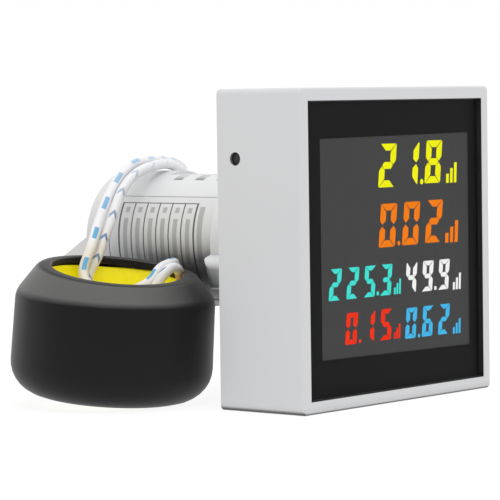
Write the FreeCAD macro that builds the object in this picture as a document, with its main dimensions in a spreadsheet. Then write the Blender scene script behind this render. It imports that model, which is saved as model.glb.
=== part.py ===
import FreeCAD, Part
import math
import os
import re

import Sketcher

# A panel power meter: a square head with a colour display, a threaded barrel behind it that
# goes through the panel, a lobed nut, a terminal end, and a current transformer on two leads.
# The origin is the centre of the head's back face, where the panel sits. +X is right as seen
# from the front, +Y points back along the barrel, +Z is up. All sizes are in millimetres.

os.makedirs("parts", exist_ok=True)
doc = FreeCAD.newDocument("PowerMeter")
sheet = doc.addObject("Spreadsheet::Sheet", "Sizes")

# The driving dimensions. Each word becomes the alias of one cell of the sheet.
sizes = {
    # Head
    "head_side": 48.0,
    "head_depth": 15.8,
    "wall": 1.9,
    "corner_round": 0.8,
    "rim_round": 0.35,
    "ledge_thick": 1.2,
    "window_thick": 0.8,
    "seat_gap": 0.1,
    "hole_bore": 2.0,
    "hole_back": 3.44,
    "hole_down": 10.38,
    # Display stack, front to back
    "lcd_side_margin": 1.9,
    "lcd_end_margin": 2.9,
    "lcd_thick": 1.9,
    "film_thick": 0.2,
    "guide_side_inset": 0.7,
    "guide_end_inset": 1.2,
    "guide_thick": 2.6,
    "tray_margin": 0.6,
    "tray_lip": 0.6,
    "tray_depth": 3.6,
    "leg_side": 2.4,
    "led_width": 3.0,
    "led_spacing": 12.0,
    "led_height": 1.0,
    "pin_width": 0.5,
    "pin_spacing": 2.54,
    "pin_count": 13,
    # Boards and what they carry
    "board_margin": 0.6,
    "board_thick": 1.2,
    "chip_side": 7.0,
    "chip_thick": 1.2,
    "meter_chip_length": 9.9,
    "meter_chip_width": 3.9,
    "meter_chip_thick": 1.6,
    "chip_offset": 12.0,
    "switch_side": 4.5,
    "switch_height": 4.0,
    "switch_gap": 2.0,
    "button_bore": 1.6,
    "button_recess": 0.5,
    "collar_thick": 0.6,
    "collar_reach": 0.5,
    "power_board_width": 16.4,
    "power_board_thick": 1.6,
    "power_board_top": -2.2,
    "power_board_gap": 0.3,
    "link_pin_length": 8.0,
    "part_gap": 1.0,
    "film_cap_width": 5.0,
    "film_cap_height": 8.0,
    "film_cap_length": 13.0,
    "can_bore": 6.3,
    "can_length": 11.0,
    "varistor_bore": 7.0,
    "varistor_thick": 3.0,
    "rectifier_length": 4.7,
    "rectifier_width": 6.0,
    "rectifier_height": 2.5,
    # Rear cover and threaded barrel
    "cover_thick": 1.6,
    "post_height": 4.1,
    "post_bore": 3.0,
    "post_inset": 2.9,
    "clip_length": 5.0,
    "clip_reach": 0.35,
    "clip_offset": 12.0,
    "thread_crest": 11.0,
    "thread_root": 10.0,
    "barrel_inside": 9.2,
    "barrel_length": 36.5,
    "spigot_length": 3.0,
    "relief_length": 0.5,
    "thread_end": 27.5,
    "thread_margin": 3.2,
    "thread_pitch": 4.5,
    "groove_base": 1.2,
    "groove_mouth": 2.0,
    "thread_sector": 46.0,
    "thread_count": 5,
    "flat_height": 10.45,
    "label_recess": 0.14,
    "groove_over": 0.2,
    # Nut and washer
    "nut_gap": 0.08,
    "washer_front": 3.8,
    "washer_thick": 1.0,
    "washer_radius": 14.2,
    "nut_length": 6.7,
    "nut_root": 12.5,
    "lobe_radius": 15.0,
    "lobe_width": 5.2,
    "lobe_round": 1.4,
    "lobe_count": 4,
    "lobe_turn": 19.2,
    "lobe_start": 6.25,
    # Terminal end
    "flange_thick": 2.5,
    "plug_length": 3.0,
    "plug_gap": 0.08,
    "plug_wall": 1.4,
    "tower_length": 10.0,
    "tower_width": 15.2,
    "tower_top": 2.26,
    "tower_bottom": -9.4,
    "tower_slope": 31.9,
    "tower_inset": 0.1,
    "tower_overlap": 1.0,
    "channel_width": 6.2,
    "channel_barrier": 1.2,
    "channel_depth": 3.4,
    "channel_start": 0.6,
    "channel_run": 20.0,
    "channel_open": 6.0,
    "plate_width": 5.8,
    "plate_length": 8.0,
    "plate_thick": 0.8,
    "tab_width": 3.0,
    "tab_length": 8.0,
    "tab_reach": 1.5,
    "tab_room": 2.0,
    "clamp_side": 5.6,
    "clamp_thick": 0.8,
    "screw_radius": 1.5,
    "screw_length": 5.2,
    "screw_head_radius": 2.5,
    "screw_head_height": 1.5,
    "screw_slot": 0.6,
    "screw_gap": 0.05,
    "screw_along": 5.0,
    "screw_room": 0.15,
    "screw_room_below": 0.4,
    "hole_reach": 3.0,
    # Label
    "label_start": 11.6,
    "label_end_gap": 2.5,
    "label_thick": 0.1,
    "label_up": 40.0,
    "label_down": 56.0,
    "label_gap": 0.02,
    "label_spare": 1.0,
    # Current transformer, on its own axis
    "ring_left": 25.3,
    "ring_back": 20.3,
    "ring_low": 13.0,
    "ring_lean": 5.6,
    "sleeve_radius": 15.7,
    "sleeve_height": 19.8,
    "sleeve_taper": 0.35,
    "shoulder_start": 12.8,
    "shoulder_drop": 3.7,
    "shoulder_round": 2.2,
    "flank_round": 3.0,
    "sleeve_wall": 1.2,
    "mouth_radius": 10.4,
    "lip_round": 0.35,
    "bottom_round": 5.0,
    "bore_radius": 9.6,
    "bore_top": 3.6,
    "wrap_gap": 0.05,
    "wrap_thick": 0.5,
    "core_inside": 11.2,
    "core_outside": 12.9,
    "core_height": 8.4,
    "winding_thick": 0.7,
    # Leads
    "lead_bore": 1.6,
    "lead_spread": 1.8,
    "exit_right": 5.2,
    "exit_up": 5.4,
    "grommet_length": 3.0,
    "grommet_wall": 0.6,
    "grommet_sunk": 0.4,
}
# Sizes that follow from the ones above
derived = {
    "opening": "head_side - 2*wall",
    "pane_side": "opening - 2*seat_gap",
    "hole_up": "head_side/2 - hole_down",
    "lcd_width": "opening - 2*lcd_side_margin",
    "lcd_height": "opening - 2*lcd_end_margin",
    "guide_width": "lcd_width - 2*guide_side_inset",
    "guide_height": "lcd_height - 2*guide_end_inset",
    "tray_width": "opening - 2*tray_margin",
    "tray_height": "guide_height + 2*tray_lip",
    "board_side": "opening - 2*board_margin",
    "power_board_end": "barrel_length - plug_length - power_board_gap",
    "flange_back": "barrel_length + flange_thick",
    "tower_back": "flange_back + tower_length",
    "label_length": "barrel_length - label_start - label_end_gap",
    "seat_up": "label_up + label_spare",
    "seat_down": "label_down + label_spare",
}
for row, (word, number) in enumerate(sizes.items(), 1):
    sheet.set("A" + str(row), str(number))
    sheet.setAlias("A" + str(row), word)
doc.recompute()
for row, (word, formula) in enumerate(derived.items(), len(sizes) + 1):
    sheet.set("A" + str(row), "=" + formula)
    sheet.setAlias("A" + str(row), word)
    doc.recompute()


def value(word):
    return float(sheet.get(word))


def in_sheet(formula):
    """Turns the sheet's words in a formula into references to its cells."""
    known = sorted([*sizes, *derived], key=len, reverse=True)
    words = r"\b(" + "|".join(known) + r")\b"
    return re.sub(words, r"Sizes.\1", formula)


def bind(thing, prop, formula):
    thing.setExpression(prop, in_sheet(formula))


def place(thing, x="0", y="0", z="0"):
    bind(thing, "Placement.Base.x", x)
    bind(thing, "Placement.Base.y", y)
    bind(thing, "Placement.Base.z", z)
    return thing


def box(name, x, y, z, across, along, high):
    """A block whose lowest corner is at x, y, z."""
    block = doc.addObject("Part::Box", name)
    bind(block, "Length", across)
    bind(block, "Width", along)
    bind(block, "Height", high)
    return place(block, x, y, z)


def rod(name, radius, length, x="0", y="0", z="0", axis="Y"):
    """A cylinder that starts at x, y, z and runs along +X, +Y or +Z."""
    bar = doc.addObject("Part::Cylinder", name)
    bind(bar, "Radius", radius)
    bind(bar, "Height", length)
    turns = {
        "X": FreeCAD.Rotation(FreeCAD.Vector(0, 1, 0), 90),
        "Y": FreeCAD.Rotation(FreeCAD.Vector(1, 0, 0), -90),
        "Z": FreeCAD.Rotation(),
    }
    bar.Placement = FreeCAD.Placement(FreeCAD.Vector(), turns[axis])
    return place(bar, x, y, z)


def cut(name, base, tool):
    rest = doc.addObject("Part::Cut", name)
    rest.Base = base
    rest.Tool = tool
    return rest


def fuse(name, shapes):
    whole = doc.addObject("Part::MultiFuse", name)
    whole.Shapes = shapes
    return whole


def common(name, shapes):
    shared = doc.addObject("Part::MultiCommon", name)
    shared.Shapes = shapes
    return shared


def group(name, shapes):
    """Separate solids that are kept together under one name."""
    bundle = doc.addObject("Part::Compound", name)
    bundle.Links = shapes
    return bundle


pieces = []


def piece(label, thing):
    """Names a finished sub-part, which is also its file's name."""
    thing.Label = label
    pieces.append(thing)
    return thing


def body(name):
    return doc.addObject("PartDesign::Body", name)


def sketch(owner, name, role, offset="0"):
    """A sketch on one of its body's origin planes, moved along that plane's normal."""
    drawing = owner.newObject("Sketcher::SketchObject", name)
    plane = [f for f in owner.Origin.OriginFeatures if f.Role == role][0]
    drawing.AttachmentSupport = [(plane, "")]
    drawing.MapMode = "FlatFace"
    bind(drawing, "AttachmentOffset.Base.z", offset)
    return drawing


def hold(drawing, constraint, name, formula):
    """Adds one named dimension to a sketch and ties it to the sheet."""
    index = drawing.addConstraint(constraint)
    drawing.renameConstraint(index, name)
    bind(drawing, "Constraints." + name, formula)


def outline(drawing, corners):
    """Draws a closed run of straight lines through corners, each given as two formulas.

    A corner is a name, a rough place and the formulas of its two distances from the origin.
    """
    lines = []
    count = len(corners)
    for index in range(count):
        start = FreeCAD.Vector(*corners[index][1], 0)
        end = FreeCAD.Vector(*corners[(index + 1) % count][1], 0)
        lines.append(drawing.addGeometry(Part.LineSegment(start, end), False))
    for index in range(count):
        after = lines[(index + 1) % count]
        drawing.addConstraint(Sketcher.Constraint("Coincident", lines[index], 2, after, 1))
    for index in range(count):
        name, rough, across, up = corners[index]
        line = lines[index]
        hold(drawing, Sketcher.Constraint("DistanceX", -1, 1, line, 1, rough[0]), name + "_x", across)
        hold(drawing, Sketcher.Constraint("DistanceY", -1, 1, line, 1, rough[1]), name + "_y", up)
    return lines


def square(drawing, width, height, rough=(20.0, 20.0)):
    """A rectangle centred on the sketch's origin."""
    a, b = rough
    outline(drawing, [
        ("low_left", (-a, -b), "-(" + width + ")/2", "-(" + height + ")/2"),
        ("low_right", (a, -b), "(" + width + ")/2", "-(" + height + ")/2"),
        ("top_right", (a, b), "(" + width + ")/2", "(" + height + ")/2"),
        ("top_left", (-a, b), "-(" + width + ")/2", "(" + height + ")/2"),
    ])


def circle(drawing, name, radius, across="0", up="0", rough=(0.0, 0.0, 5.0)):
    """A circle whose centre and radius come from the sheet."""
    middle = FreeCAD.Vector(rough[0], rough[1], 0)
    ring = drawing.addGeometry(Part.Circle(middle, FreeCAD.Vector(0, 0, 1), rough[2]), False)
    if across == "0" and up == "0":
        drawing.addConstraint(Sketcher.Constraint("Coincident", ring, 3, -1, 1))
    else:
        right = Sketcher.Constraint("DistanceX", -1, 1, ring, 3, rough[0])
        above = Sketcher.Constraint("DistanceY", -1, 1, ring, 3, rough[1])
        hold(drawing, right, name + "_x", across)
        hold(drawing, above, name + "_y", up)
    hold(drawing, Sketcher.Constraint("Radius", ring, rough[2]), name + "_r", radius)


def pad(owner, name, drawing, length, reverse=False):
    feature = owner.newObject("PartDesign::Pad", name)
    feature.Profile = drawing
    feature.Reversed = reverse
    bind(feature, "Length", length)
    return feature


def pocket(owner, name, drawing, length, reverse=False):
    feature = owner.newObject("PartDesign::Pocket", name)
    feature.Profile = drawing
    feature.Reversed = reverse
    bind(feature, "Length", length)
    return feature


def removed(owner, before):
    """Stops the build if a pocket has cut nothing."""
    doc.recompute()
    if owner.Shape.Volume >= before - 0.01:
        raise RuntimeError(owner.Name + ": a pocket cut nothing")
    return owner.Shape.Volume


def along_y(shape, y_low, y_high):
    """The straight edges of a shape that run along Y between two planes."""
    names = []
    for index, edge in enumerate(shape.Edges, 1):
        ends = sorted(v.Point.y for v in edge.Vertexes)
        if len(ends) == 2 and abs(ends[0] - y_low) < 0.01 and abs(ends[1] - y_high) < 0.01:
            names.append("Edge" + str(index))
    return names


# Front housing: one square moulding with a recess for the window, a ledge behind it, a cavity
# for the display and the board, grooves for the cover's clips and the setting button's hole
def front_housing():
    shell = body("FrontHousing")
    outside = sketch(shell, "HousingOutside", "XZ_Plane")
    square(outside, "head_side", "head_side")
    block = pad(shell, "HousingBlock", outside, "head_depth")
    doc.recompute()
    corners = shell.newObject("PartDesign::Fillet", "HousingCorners")
    corners.Base = (block, along_y(block.Shape, -value("head_depth"), 0.0))
    bind(corners, "Radius", "corner_round")
    doc.recompute()
    rim = shell.newObject("PartDesign::Fillet", "HousingRim")
    front = [
        "Edge" + str(index)
        for index, edge in enumerate(corners.Shape.Edges, 1)
        if abs(edge.BoundBox.YMin + value("head_depth")) < 0.01
        and abs(edge.BoundBox.YMax + value("head_depth")) < 0.01
    ]
    rim.Base = (corners, front)
    bind(rim, "Radius", "rim_round")
    doc.recompute()
    volume = shell.Shape.Volume

    recess = sketch(shell, "WindowRecess", "XZ_Plane", "head_depth")
    square(recess, "opening", "opening")
    pocket(shell, "WindowPocket", recess, "window_thick")
    volume = removed(shell, volume)
    gate = sketch(shell, "LedgeOpening", "XZ_Plane", "head_depth")
    square(gate, "lcd_width + 2*seat_gap", "lcd_height + 2*seat_gap")
    pocket(shell, "LedgePocket", gate, "window_thick + ledge_thick")
    volume = removed(shell, volume)
    inside = sketch(shell, "Cavity", "XZ_Plane")
    square(inside, "opening", "opening")
    pocket(shell, "CavityPocket", inside, "head_depth - window_thick - ledge_thick", True)
    volume = removed(shell, volume)

    for side, sign in (("Top", 1), ("Bottom", -1)):
        groove = sketch(shell, "ClipGroove" + side, "XZ_Plane", "cover_thick/4")
        inner = "opening/2*" + str(sign)
        outer = "(opening/2 + clip_reach + seat_gap)*" + str(sign)
        reach = "(clip_offset + clip_length/2 + seat_gap)"
        outline(groove, [
            ("a", (-15.0, 22.0 * sign), "-" + reach, inner),
            ("b", (15.0, 22.0 * sign), reach, inner),
            ("c", (15.0, 23.0 * sign), reach, outer),
            ("d", (-15.0, 23.0 * sign), "-" + reach, outer),
        ])
        pocket(shell, "ClipGroovePocket" + side, groove, "cover_thick/2", True)
        volume = removed(shell, volume)

    button_hole = sketch(shell, "ButtonHole", "YZ_Plane", "-head_side/2")
    circle(button_hole, "bore", "hole_bore/2", "-hole_back", "hole_up", (-3.4, 13.6, 1.0))
    pocket(shell, "ButtonHolePocket", button_hole, "wall", True)
    removed(shell, volume)
    return piece("front_housing", shell)


# Display: window, liquid crystal panel, colour film, light guide, tray, lamps and pins
def front_of(layers):
    """The formula for the front of what lies behind some layers of the display."""
    return "-head_depth + " + " + ".join(layers)


def display_window():
    pane = body("DisplayWindow")
    face = sketch(pane, "WindowFace", "XZ_Plane", "head_depth")
    square(face, "pane_side", "pane_side")
    pad(pane, "WindowPane", face, "window_thick", True)
    return piece("display_window", pane)


def display_stack():
    lcd_front = front_of(["window_thick", "seat_gap/2"])
    lcd = box("LcdPanel", "-lcd_width/2", lcd_front, "-lcd_height/2",
              "lcd_width", "lcd_thick", "lcd_height")
    piece("lcd_panel", lcd)

    tray_front = front_of(["window_thick", "seat_gap", "lcd_thick"])
    tray_block = box("TrayBlock", "-tray_width/2", tray_front, "-tray_height/2",
                     "tray_width", "tray_depth", "tray_height")
    tray_well = box("TrayWell", "-guide_width/2 - seat_gap", tray_front, "-guide_height/2 - seat_gap",
                    "guide_width + 2*seat_gap", "film_thick + guide_thick + seat_gap",
                    "guide_height + 2*seat_gap")
    tray = cut("TrayShell", tray_block, tray_well)
    legs = []
    for name, across, up in (("A", -1, -1), ("B", 1, -1), ("C", -1, 1), ("D", 1, 1)):
        x = str(across) + "*(tray_width/2 - leg_side/2) - leg_side/2"
        z = str(up) + "*(tray_height/2 - leg_side/2) - leg_side/2"
        leg_start = tray_front + " + tray_depth"
        legs.append(box("TrayLeg" + name, x, leg_start, z, "leg_side",
                        "-cover_thick - post_height - board_thick - (" + leg_start + ")",
                        "leg_side"))
    piece("display_tray", fuse("Tray", [tray] + legs))

    film = box("ColourFilm", "-guide_width/2", tray_front, "-guide_height/2",
               "guide_width", "film_thick", "guide_height")
    piece("colour_film", film)
    guide_front = tray_front + " + film_thick + seat_gap/2"
    guide = box("LightGuide", "-guide_width/2", guide_front, "-guide_height/2",
                "guide_width", "guide_thick", "guide_height")
    notches = []
    lamps = []
    for index in range(3):
        x = "led_spacing*" + str(index - 1) + " - led_width/2"
        z = "-guide_height/2"
        notches.append(box("LampNotch" + str(index), x + " - seat_gap", guide_front, z,
                           "led_width + 2*seat_gap", "guide_thick", "led_height + seat_gap"))
        lamps.append(box("Lamp" + str(index), x, guide_front + " + guide_thick/4", z,
                         "led_width", "guide_thick/2", "led_height"))
    piece("light_guide", cut("GuideCut", guide, fuse("LampNotches", notches)))
    piece("backlight_lamps", group("Lamps", lamps))

    pins = []
    for row, up in (("Low", -1), ("High", 1)):
        for index in range(int(value("pin_count"))):
            x = "pin_spacing*(" + str(index) + " - (pin_count - 1)/2) - pin_width/2"
            z = str(up) + "*(tray_height/2 + seat_gap + pin_width/2) - pin_width/2"
            start = front_of(["window_thick", "seat_gap/2", "lcd_thick"])
            pins.append(box("LcdPin" + row + str(index), x, start, z, "pin_width",
                            "-cover_thick - post_height - board_thick - (" + start + ")",
                            "pin_width"))
    piece("lcd_pins", group("LcdPins", pins))


# Main board, its chips, the setting switch and its button
def main_board():
    board_front = "-cover_thick - post_height - board_thick"
    board_back = "-cover_thick - post_height"
    board = box("MainBoard", "-board_side/2", board_front, "-board_side/2",
                "board_side", "board_thick", "board_side")
    piece("main_board", board)
    chip = box("ControllerChip", "chip_offset - chip_side/2", board_back, "-chip_offset - chip_side/2",
               "chip_side", "chip_thick", "chip_side")
    piece("controller_chip", chip)
    meter_chip = box("MeterChip", "-chip_offset - meter_chip_length/2", board_back,
                     "-chip_offset - meter_chip_width/2",
                     "meter_chip_length", "meter_chip_thick", "meter_chip_width")
    piece("metering_chip", meter_chip)

    switch_left = "-head_side/2 + wall + switch_gap"
    switch_block = box("SwitchBlock", switch_left, board_back, "hole_up - switch_side/2",
                       "switch_side", "switch_height - seat_gap", "switch_side")
    switch_bore = rod("SwitchBore", "button_bore/2 + screw_gap", "switch_side/2",
                      switch_left, "-hole_back", "hole_up", "X")
    piece("setting_switch", cut("Switch", switch_block, switch_bore))
    button_left = "-head_side/2 + button_recess"
    stem = rod("ButtonStem", "button_bore/2", "wall + switch_gap - button_recess + switch_side/4",
               button_left, "-hole_back", "hole_up", "X")
    collar = rod("ButtonCollar", "button_bore/2 + collar_reach", "collar_thick",
                 "-head_side/2 + wall + seat_gap", "-hole_back", "hole_up", "X")
    piece("setting_button", fuse("Button", [stem, collar]))


# Power board in the barrel, with the parts that feed the meter
def power_board():
    start = "-cover_thick - post_height + seat_gap/2"
    board = box("PowerBoard", "-power_board_width/2", start, "power_board_top - power_board_thick",
                "power_board_width", "power_board_end - (" + start + ")", "power_board_thick")
    piece("power_board", board)
    pins = []
    for index in range(5):
        pins.append(box("LinkPin" + str(index), "pin_spacing*" + str(index - 2) + " - pin_width/2",
                        start, "power_board_top", "pin_width", "link_pin_length", "pin_width"))
    piece("board_link_pins", group("LinkPins", pins))
    film_cap = box("FilmCap", "-film_cap_width", "link_pin_length", "power_board_top",
                   "film_cap_width", "film_cap_length", "film_cap_height")
    piece("film_capacitor", film_cap)
    can = rod("Can", "can_bore/2", "can_length", "can_bore/2 + part_gap", "link_pin_length",
              "power_board_top + can_bore/2")
    piece("smoothing_capacitor", can)
    disc = rod("VaristorDisc", "varistor_bore/2", "varistor_thick", "0",
               "link_pin_length + film_cap_length + 2*part_gap", "power_board_top + varistor_bore/2")
    piece("varistor", disc)
    bridge = box("Rectifier", "-rectifier_width/2", "link_pin_length",
                 "power_board_top - power_board_thick - rectifier_height",
                 "rectifier_width", "rectifier_length", "rectifier_height")
    piece("rectifier", bridge)


# Rear cover: a plate with posts and clips, and the barrel, which has a flat and thread grooves
# along its top and bottom, a relief behind the spigot and a shallow seat for the label
def thread_grooves():
    """Grooves over the top and under the bottom, each leaning by the thread's lead angle."""
    grooves = []
    crest = value("thread_crest")
    root = value("thread_root")
    pitch = value("thread_pitch")
    sector = value("thread_sector")
    base, mouth = value("groove_base") / 2, value("groove_mouth") / 2
    over = crest + value("groove_over")
    lean = math.degrees(math.atan(pitch / (2 * math.pi * crest)))
    slant = crest * math.sin(math.radians(sector / 2)) * math.tan(math.radians(lean))
    origin = FreeCAD.Vector(0, 0, 0)
    axis = FreeCAD.Vector(0, 1, 0)
    for half_turn, step in ((0.0, 0.0), (180.0, pitch / 2)):
        for index in range(int(value("thread_count"))):
            middle = value("thread_end") - value("thread_margin") - step - index * pitch
            if middle - mouth - slant < value("spigot_length") + value("relief_length"):
                continue
            groove = Part.Face(Part.makePolygon([
                FreeCAD.Vector(0, -base, root),
                FreeCAD.Vector(0, -mouth, over),
                FreeCAD.Vector(0, mouth, over),
                FreeCAD.Vector(0, base, root),
                FreeCAD.Vector(0, -base, root),
            ]))
            groove.rotate(origin, axis, -sector / 2)
            groove = groove.revolve(origin, axis, sector)
            groove.rotate(origin, FreeCAD.Vector(0, 0, 1), lean)
            groove.rotate(origin, axis, half_turn)
            groove.translate(FreeCAD.Vector(0, middle, 0))
            grooves.append(groove)
    return grooves


def beside_barrel(name, inner, outer, start, length, up, down):
    """A bent plate beside the barrel, up and down by two angles from the barrel's middle."""
    plate = body(name)
    section = sketch(plate, name + "Section", "XY_Plane")
    outline(section, [
        ("a", (-10.9, 12.0), "-(" + inner + ")", start),
        ("b", (-11.0, 12.0), "-(" + outer + ")", start),
        ("c", (-11.0, 34.0), "-(" + outer + ")", start + " + " + length),
        ("d", (-10.9, 34.0), "-(" + inner + ")", start + " + " + length),
    ])
    wrap = plate.newObject("PartDesign::Revolution", name + "Wrap")
    wrap.Profile = section
    wrap.ReferenceAxis = (section, ["V_Axis"])
    bind(wrap, "Angle", up + " + " + down)
    plate.Placement = FreeCAD.Placement(
        FreeCAD.Vector(), FreeCAD.Rotation(FreeCAD.Vector(0, 1, 0), -value(down)))
    return plate


def rear_cover():
    plate = box("CoverPlate", "-pane_side/2", "-cover_thick", "-pane_side/2",
                "pane_side", "cover_thick", "pane_side")
    tube = rod("BarrelTube", "thread_crest", "barrel_length")
    bore = rod("BarrelBore", "barrel_inside", "barrel_length + cover_thick", "0", "-cover_thick")
    relief = cut("BarrelRelief",
                 rod("ReliefOutside", "2*thread_crest", "relief_length", "0", "spigot_length"),
                 rod("ReliefInside", "flat_height", "relief_length", "0", "spigot_length"))
    flats = [
        box("BarrelFlat" + side, "-thread_crest", "spigot_length", low,
            "2*thread_crest", "thread_end - spigot_length", "thread_crest")
        for side, low in (("Top", "flat_height"), ("Bottom", "-flat_height - thread_crest"))
    ]
    grooves = doc.addObject("Part::Feature", "ThreadGrooves")
    grooves.Shape = Part.makeCompound(thread_grooves())
    seat = beside_barrel("LabelSeat", "thread_crest - label_recess", "thread_crest + groove_over",
                         "label_start - seat_gap", "label_length + 2*seat_gap",
                         "seat_up", "seat_down")
    posts = []
    clips = []
    for across in (-1, 1):
        for up in (-1, 1):
            tag = str(len(posts))
            x = str(across) + "*(board_side/2 - post_inset)"
            z = str(up) + "*(board_side/2 - post_inset)"
            posts.append(rod("CoverPost" + tag, "post_bore/2", "post_height",
                             x, "-cover_thick - post_height", z))
            z = str(up) + "*(pane_side/2 + clip_reach/2) - clip_reach/2"
            x = str(across) + "*clip_offset - clip_length/2"
            clips.append(box("CoverClip" + tag, x, "-3*cover_thick/4 + seat_gap", z, "clip_length",
                             "cover_thick/2 - 2*seat_gap", "clip_reach"))
    solid = fuse("CoverSolid", [plate, tube] + posts + clips)
    tools = fuse("CoverTools", [bore, relief, grooves, seat] + flats)
    piece("rear_cover", cut("RearCover", solid, tools))


# Mounting nut with four grip lobes, and the washer that it presses on the panel
def nut_washer():
    ring = body("NutWasher")
    face = sketch(ring, "WasherFace", "XZ_Plane", "-washer_front")
    circle(face, "outer", "washer_radius", rough=(0.0, 0.0, 14.0))
    circle(face, "inner", "thread_crest + nut_gap", rough=(0.0, 0.0, 11.0))
    pad(ring, "WasherRing", face, "washer_thick", True)
    return piece("nut_washer", ring)


def mounting_nut():
    nut = body("MountingNut")
    front = "-washer_front - washer_thick"
    ring_face = sketch(nut, "NutFace", "XZ_Plane", front)
    circle(ring_face, "outer", "nut_root", rough=(0.0, 0.0, 12.5))
    pad(nut, "NutRing", ring_face, "nut_length", True)
    lobe_face = sketch(nut, "LobeFace", "XZ_Plane", front)
    outline(lobe_face, [
        ("a", (-15.0, -4.0), "-sqrt(lobe_radius^2 - lobe_width^2/4)", "-lobe_width/2"),
        ("b", (-5.0, -4.0), "-lobe_start", "-lobe_width/2"),
        ("c", (-5.0, 4.0), "-lobe_start", "lobe_width/2"),
        ("d", (-15.0, 4.0), "-sqrt(lobe_radius^2 - lobe_width^2/4)", "lobe_width/2"),
    ])
    lobe = pad(nut, "NutLobe", lobe_face, "nut_length", True)
    doc.recompute()
    lobes = nut.newObject("PartDesign::PolarPattern", "NutLobes")
    lobes.Originals = [lobe]
    y_axis = [f for f in nut.Origin.OriginFeatures if f.Role == "Y_Axis"][0]
    lobes.Axis = (y_axis, [""])
    lobes.Angle = 360
    bind(lobes, "Occurrences", "lobe_count")
    nut.Tip = lobes
    doc.recompute()
    outer = []
    for index, edge in enumerate(lobes.Shape.Edges, 1):
        ends = [math.hypot(v.Point.x, v.Point.z) for v in edge.Vertexes]
        if len(ends) == 2 and min(ends) > value("nut_root") + 0.5:
            outer.append("Edge" + str(index))
    rounding = nut.newObject("PartDesign::Fillet", "LobeRounding")
    rounding.Base = (lobes, outer)
    bind(rounding, "Radius", "lobe_round")
    doc.recompute()
    volume = nut.Shape.Volume
    bore_face = sketch(nut, "NutBore", "XZ_Plane", front)
    circle(bore_face, "bore", "thread_crest + nut_gap", rough=(0.0, 0.0, 11.0))
    pocket(nut, "NutBorePocket", bore_face, "nut_length")
    removed(nut, volume)
    nut.Placement = FreeCAD.Placement(
        FreeCAD.Vector(), FreeCAD.Rotation(FreeCAD.Vector(0, 1, 0), -value("lobe_turn")))
    return piece("mounting_nut", nut)


# Terminal end: a flange and plug that close the barrel, and a sloped tower with two channels
def slope_place(along, above):
    """A place on the channels' slope: along it from the flange and above its top edge."""
    slope = math.radians(value("tower_slope"))
    y = value("flange_back") + along * math.cos(slope) + above * math.sin(slope)
    z = value("tower_top") - along * math.sin(slope) + above * math.cos(slope)
    return FreeCAD.Vector(0, y, z)


def on_slope(thing, x, along, above):
    """Turns a thing that was made flat onto the slope, with its +Z out of the channel."""
    turn = FreeCAD.Rotation(FreeCAD.Vector(1, 0, 0), -value("tower_slope"))
    thing.Placement = FreeCAD.Placement(slope_place(along, above) + FreeCAD.Vector(x, 0, 0), turn)
    return thing


def channel_middle(side):
    return side * (value("channel_barrier") + value("channel_width")) / 2


def terminal_block():
    flange = rod("Flange", "thread_crest", "flange_thick", "0", "barrel_length")
    plug = rod("Plug", "barrel_inside - plug_gap", "plug_length", "0", "barrel_length - plug_length")
    plug_inside = rod("PlugInside", "barrel_inside - plug_gap - plug_wall", "plug_length",
                      "0", "barrel_length - plug_length")
    tower = body("Tower")
    drop = "tower_length*tan(tower_slope*1deg)"
    profile = sketch(tower, "TowerSide", "YZ_Plane", "-tower_width/2")
    outline(profile, [
        ("a", (38.0, -9.0), "flange_back - tower_overlap", "tower_bottom"),
        ("b", (49.0, -9.0), "tower_back", "tower_bottom"),
        ("c", (49.0, -4.0), "tower_back", "tower_top - " + drop),
        ("d", (39.0, 2.0), "flange_back", "tower_top"),
        ("e", (38.0, 2.0), "flange_back - tower_overlap", "tower_top"),
    ])
    pad(tower, "TowerBlock", profile, "tower_width")
    envelope = rod("TowerEnvelope", "thread_crest - tower_inset", "tower_back", "0", "0")
    trimmed = common("TowerTrimmed", [tower, envelope])
    solid = fuse("TerminalSolid", [flange, plug, trimmed])

    tools = [plug_inside]
    for tag, side in (("Left", -1), ("Right", 1)):
        channel = doc.addObject("Part::Box", "Channel" + tag)
        bind(channel, "Length", "channel_width")
        bind(channel, "Width", "channel_run")
        bind(channel, "Height", "channel_depth + channel_open")
        left = channel_middle(side) - value("channel_width") / 2
        tools.append(on_slope(channel, left, value("channel_start"), -value("channel_depth")))
        hole = doc.addObject("Part::Cylinder", "ScrewHole" + tag)
        bind(hole, "Radius", "screw_radius + screw_room")
        bind(hole, "Height", "screw_length - plate_thick - clamp_thick + screw_room_below")
        deep = value("screw_length") - value("plate_thick") - value("clamp_thick")
        tools.append(on_slope(hole, channel_middle(side), value("screw_along"),
                              -value("channel_depth") - deep - value("screw_room_below")))
        slot = box("TabSlot" + tag, str(channel_middle(side)) + " - tab_width/2 - seat_gap",
                   "barrel_length - plug_length", "power_board_top - seat_gap",
                   "tab_width + 2*seat_gap", "plug_length + flange_thick + tab_room",
                   "plate_thick + 2*seat_gap")
        tools.append(slot)
    exit_hole = lead_oval("ExitHole", "lead_bore/2 + grommet_wall", "barrel_length - plug_length",
                          "plug_length + flange_thick")
    tools.append(exit_hole)
    piece("terminal_block", cut("TerminalBlock", solid, fuse("TerminalTools", tools)))


def lead_oval(name, radius, start, length):
    """An oval bar along Y that goes round both leads where they leave the meter."""
    left = rod(name + "Left", radius, length, "exit_right - lead_spread/2", start, "exit_up")
    right = rod(name + "Right", radius, length, "exit_right + lead_spread/2", start, "exit_up")
    middle = box(name + "Middle", "exit_right - lead_spread/2", start, "exit_up - (" + radius + ")",
                 "lead_spread", length, "2*(" + radius + ")")
    return fuse(name, [left, right, middle])


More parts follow.
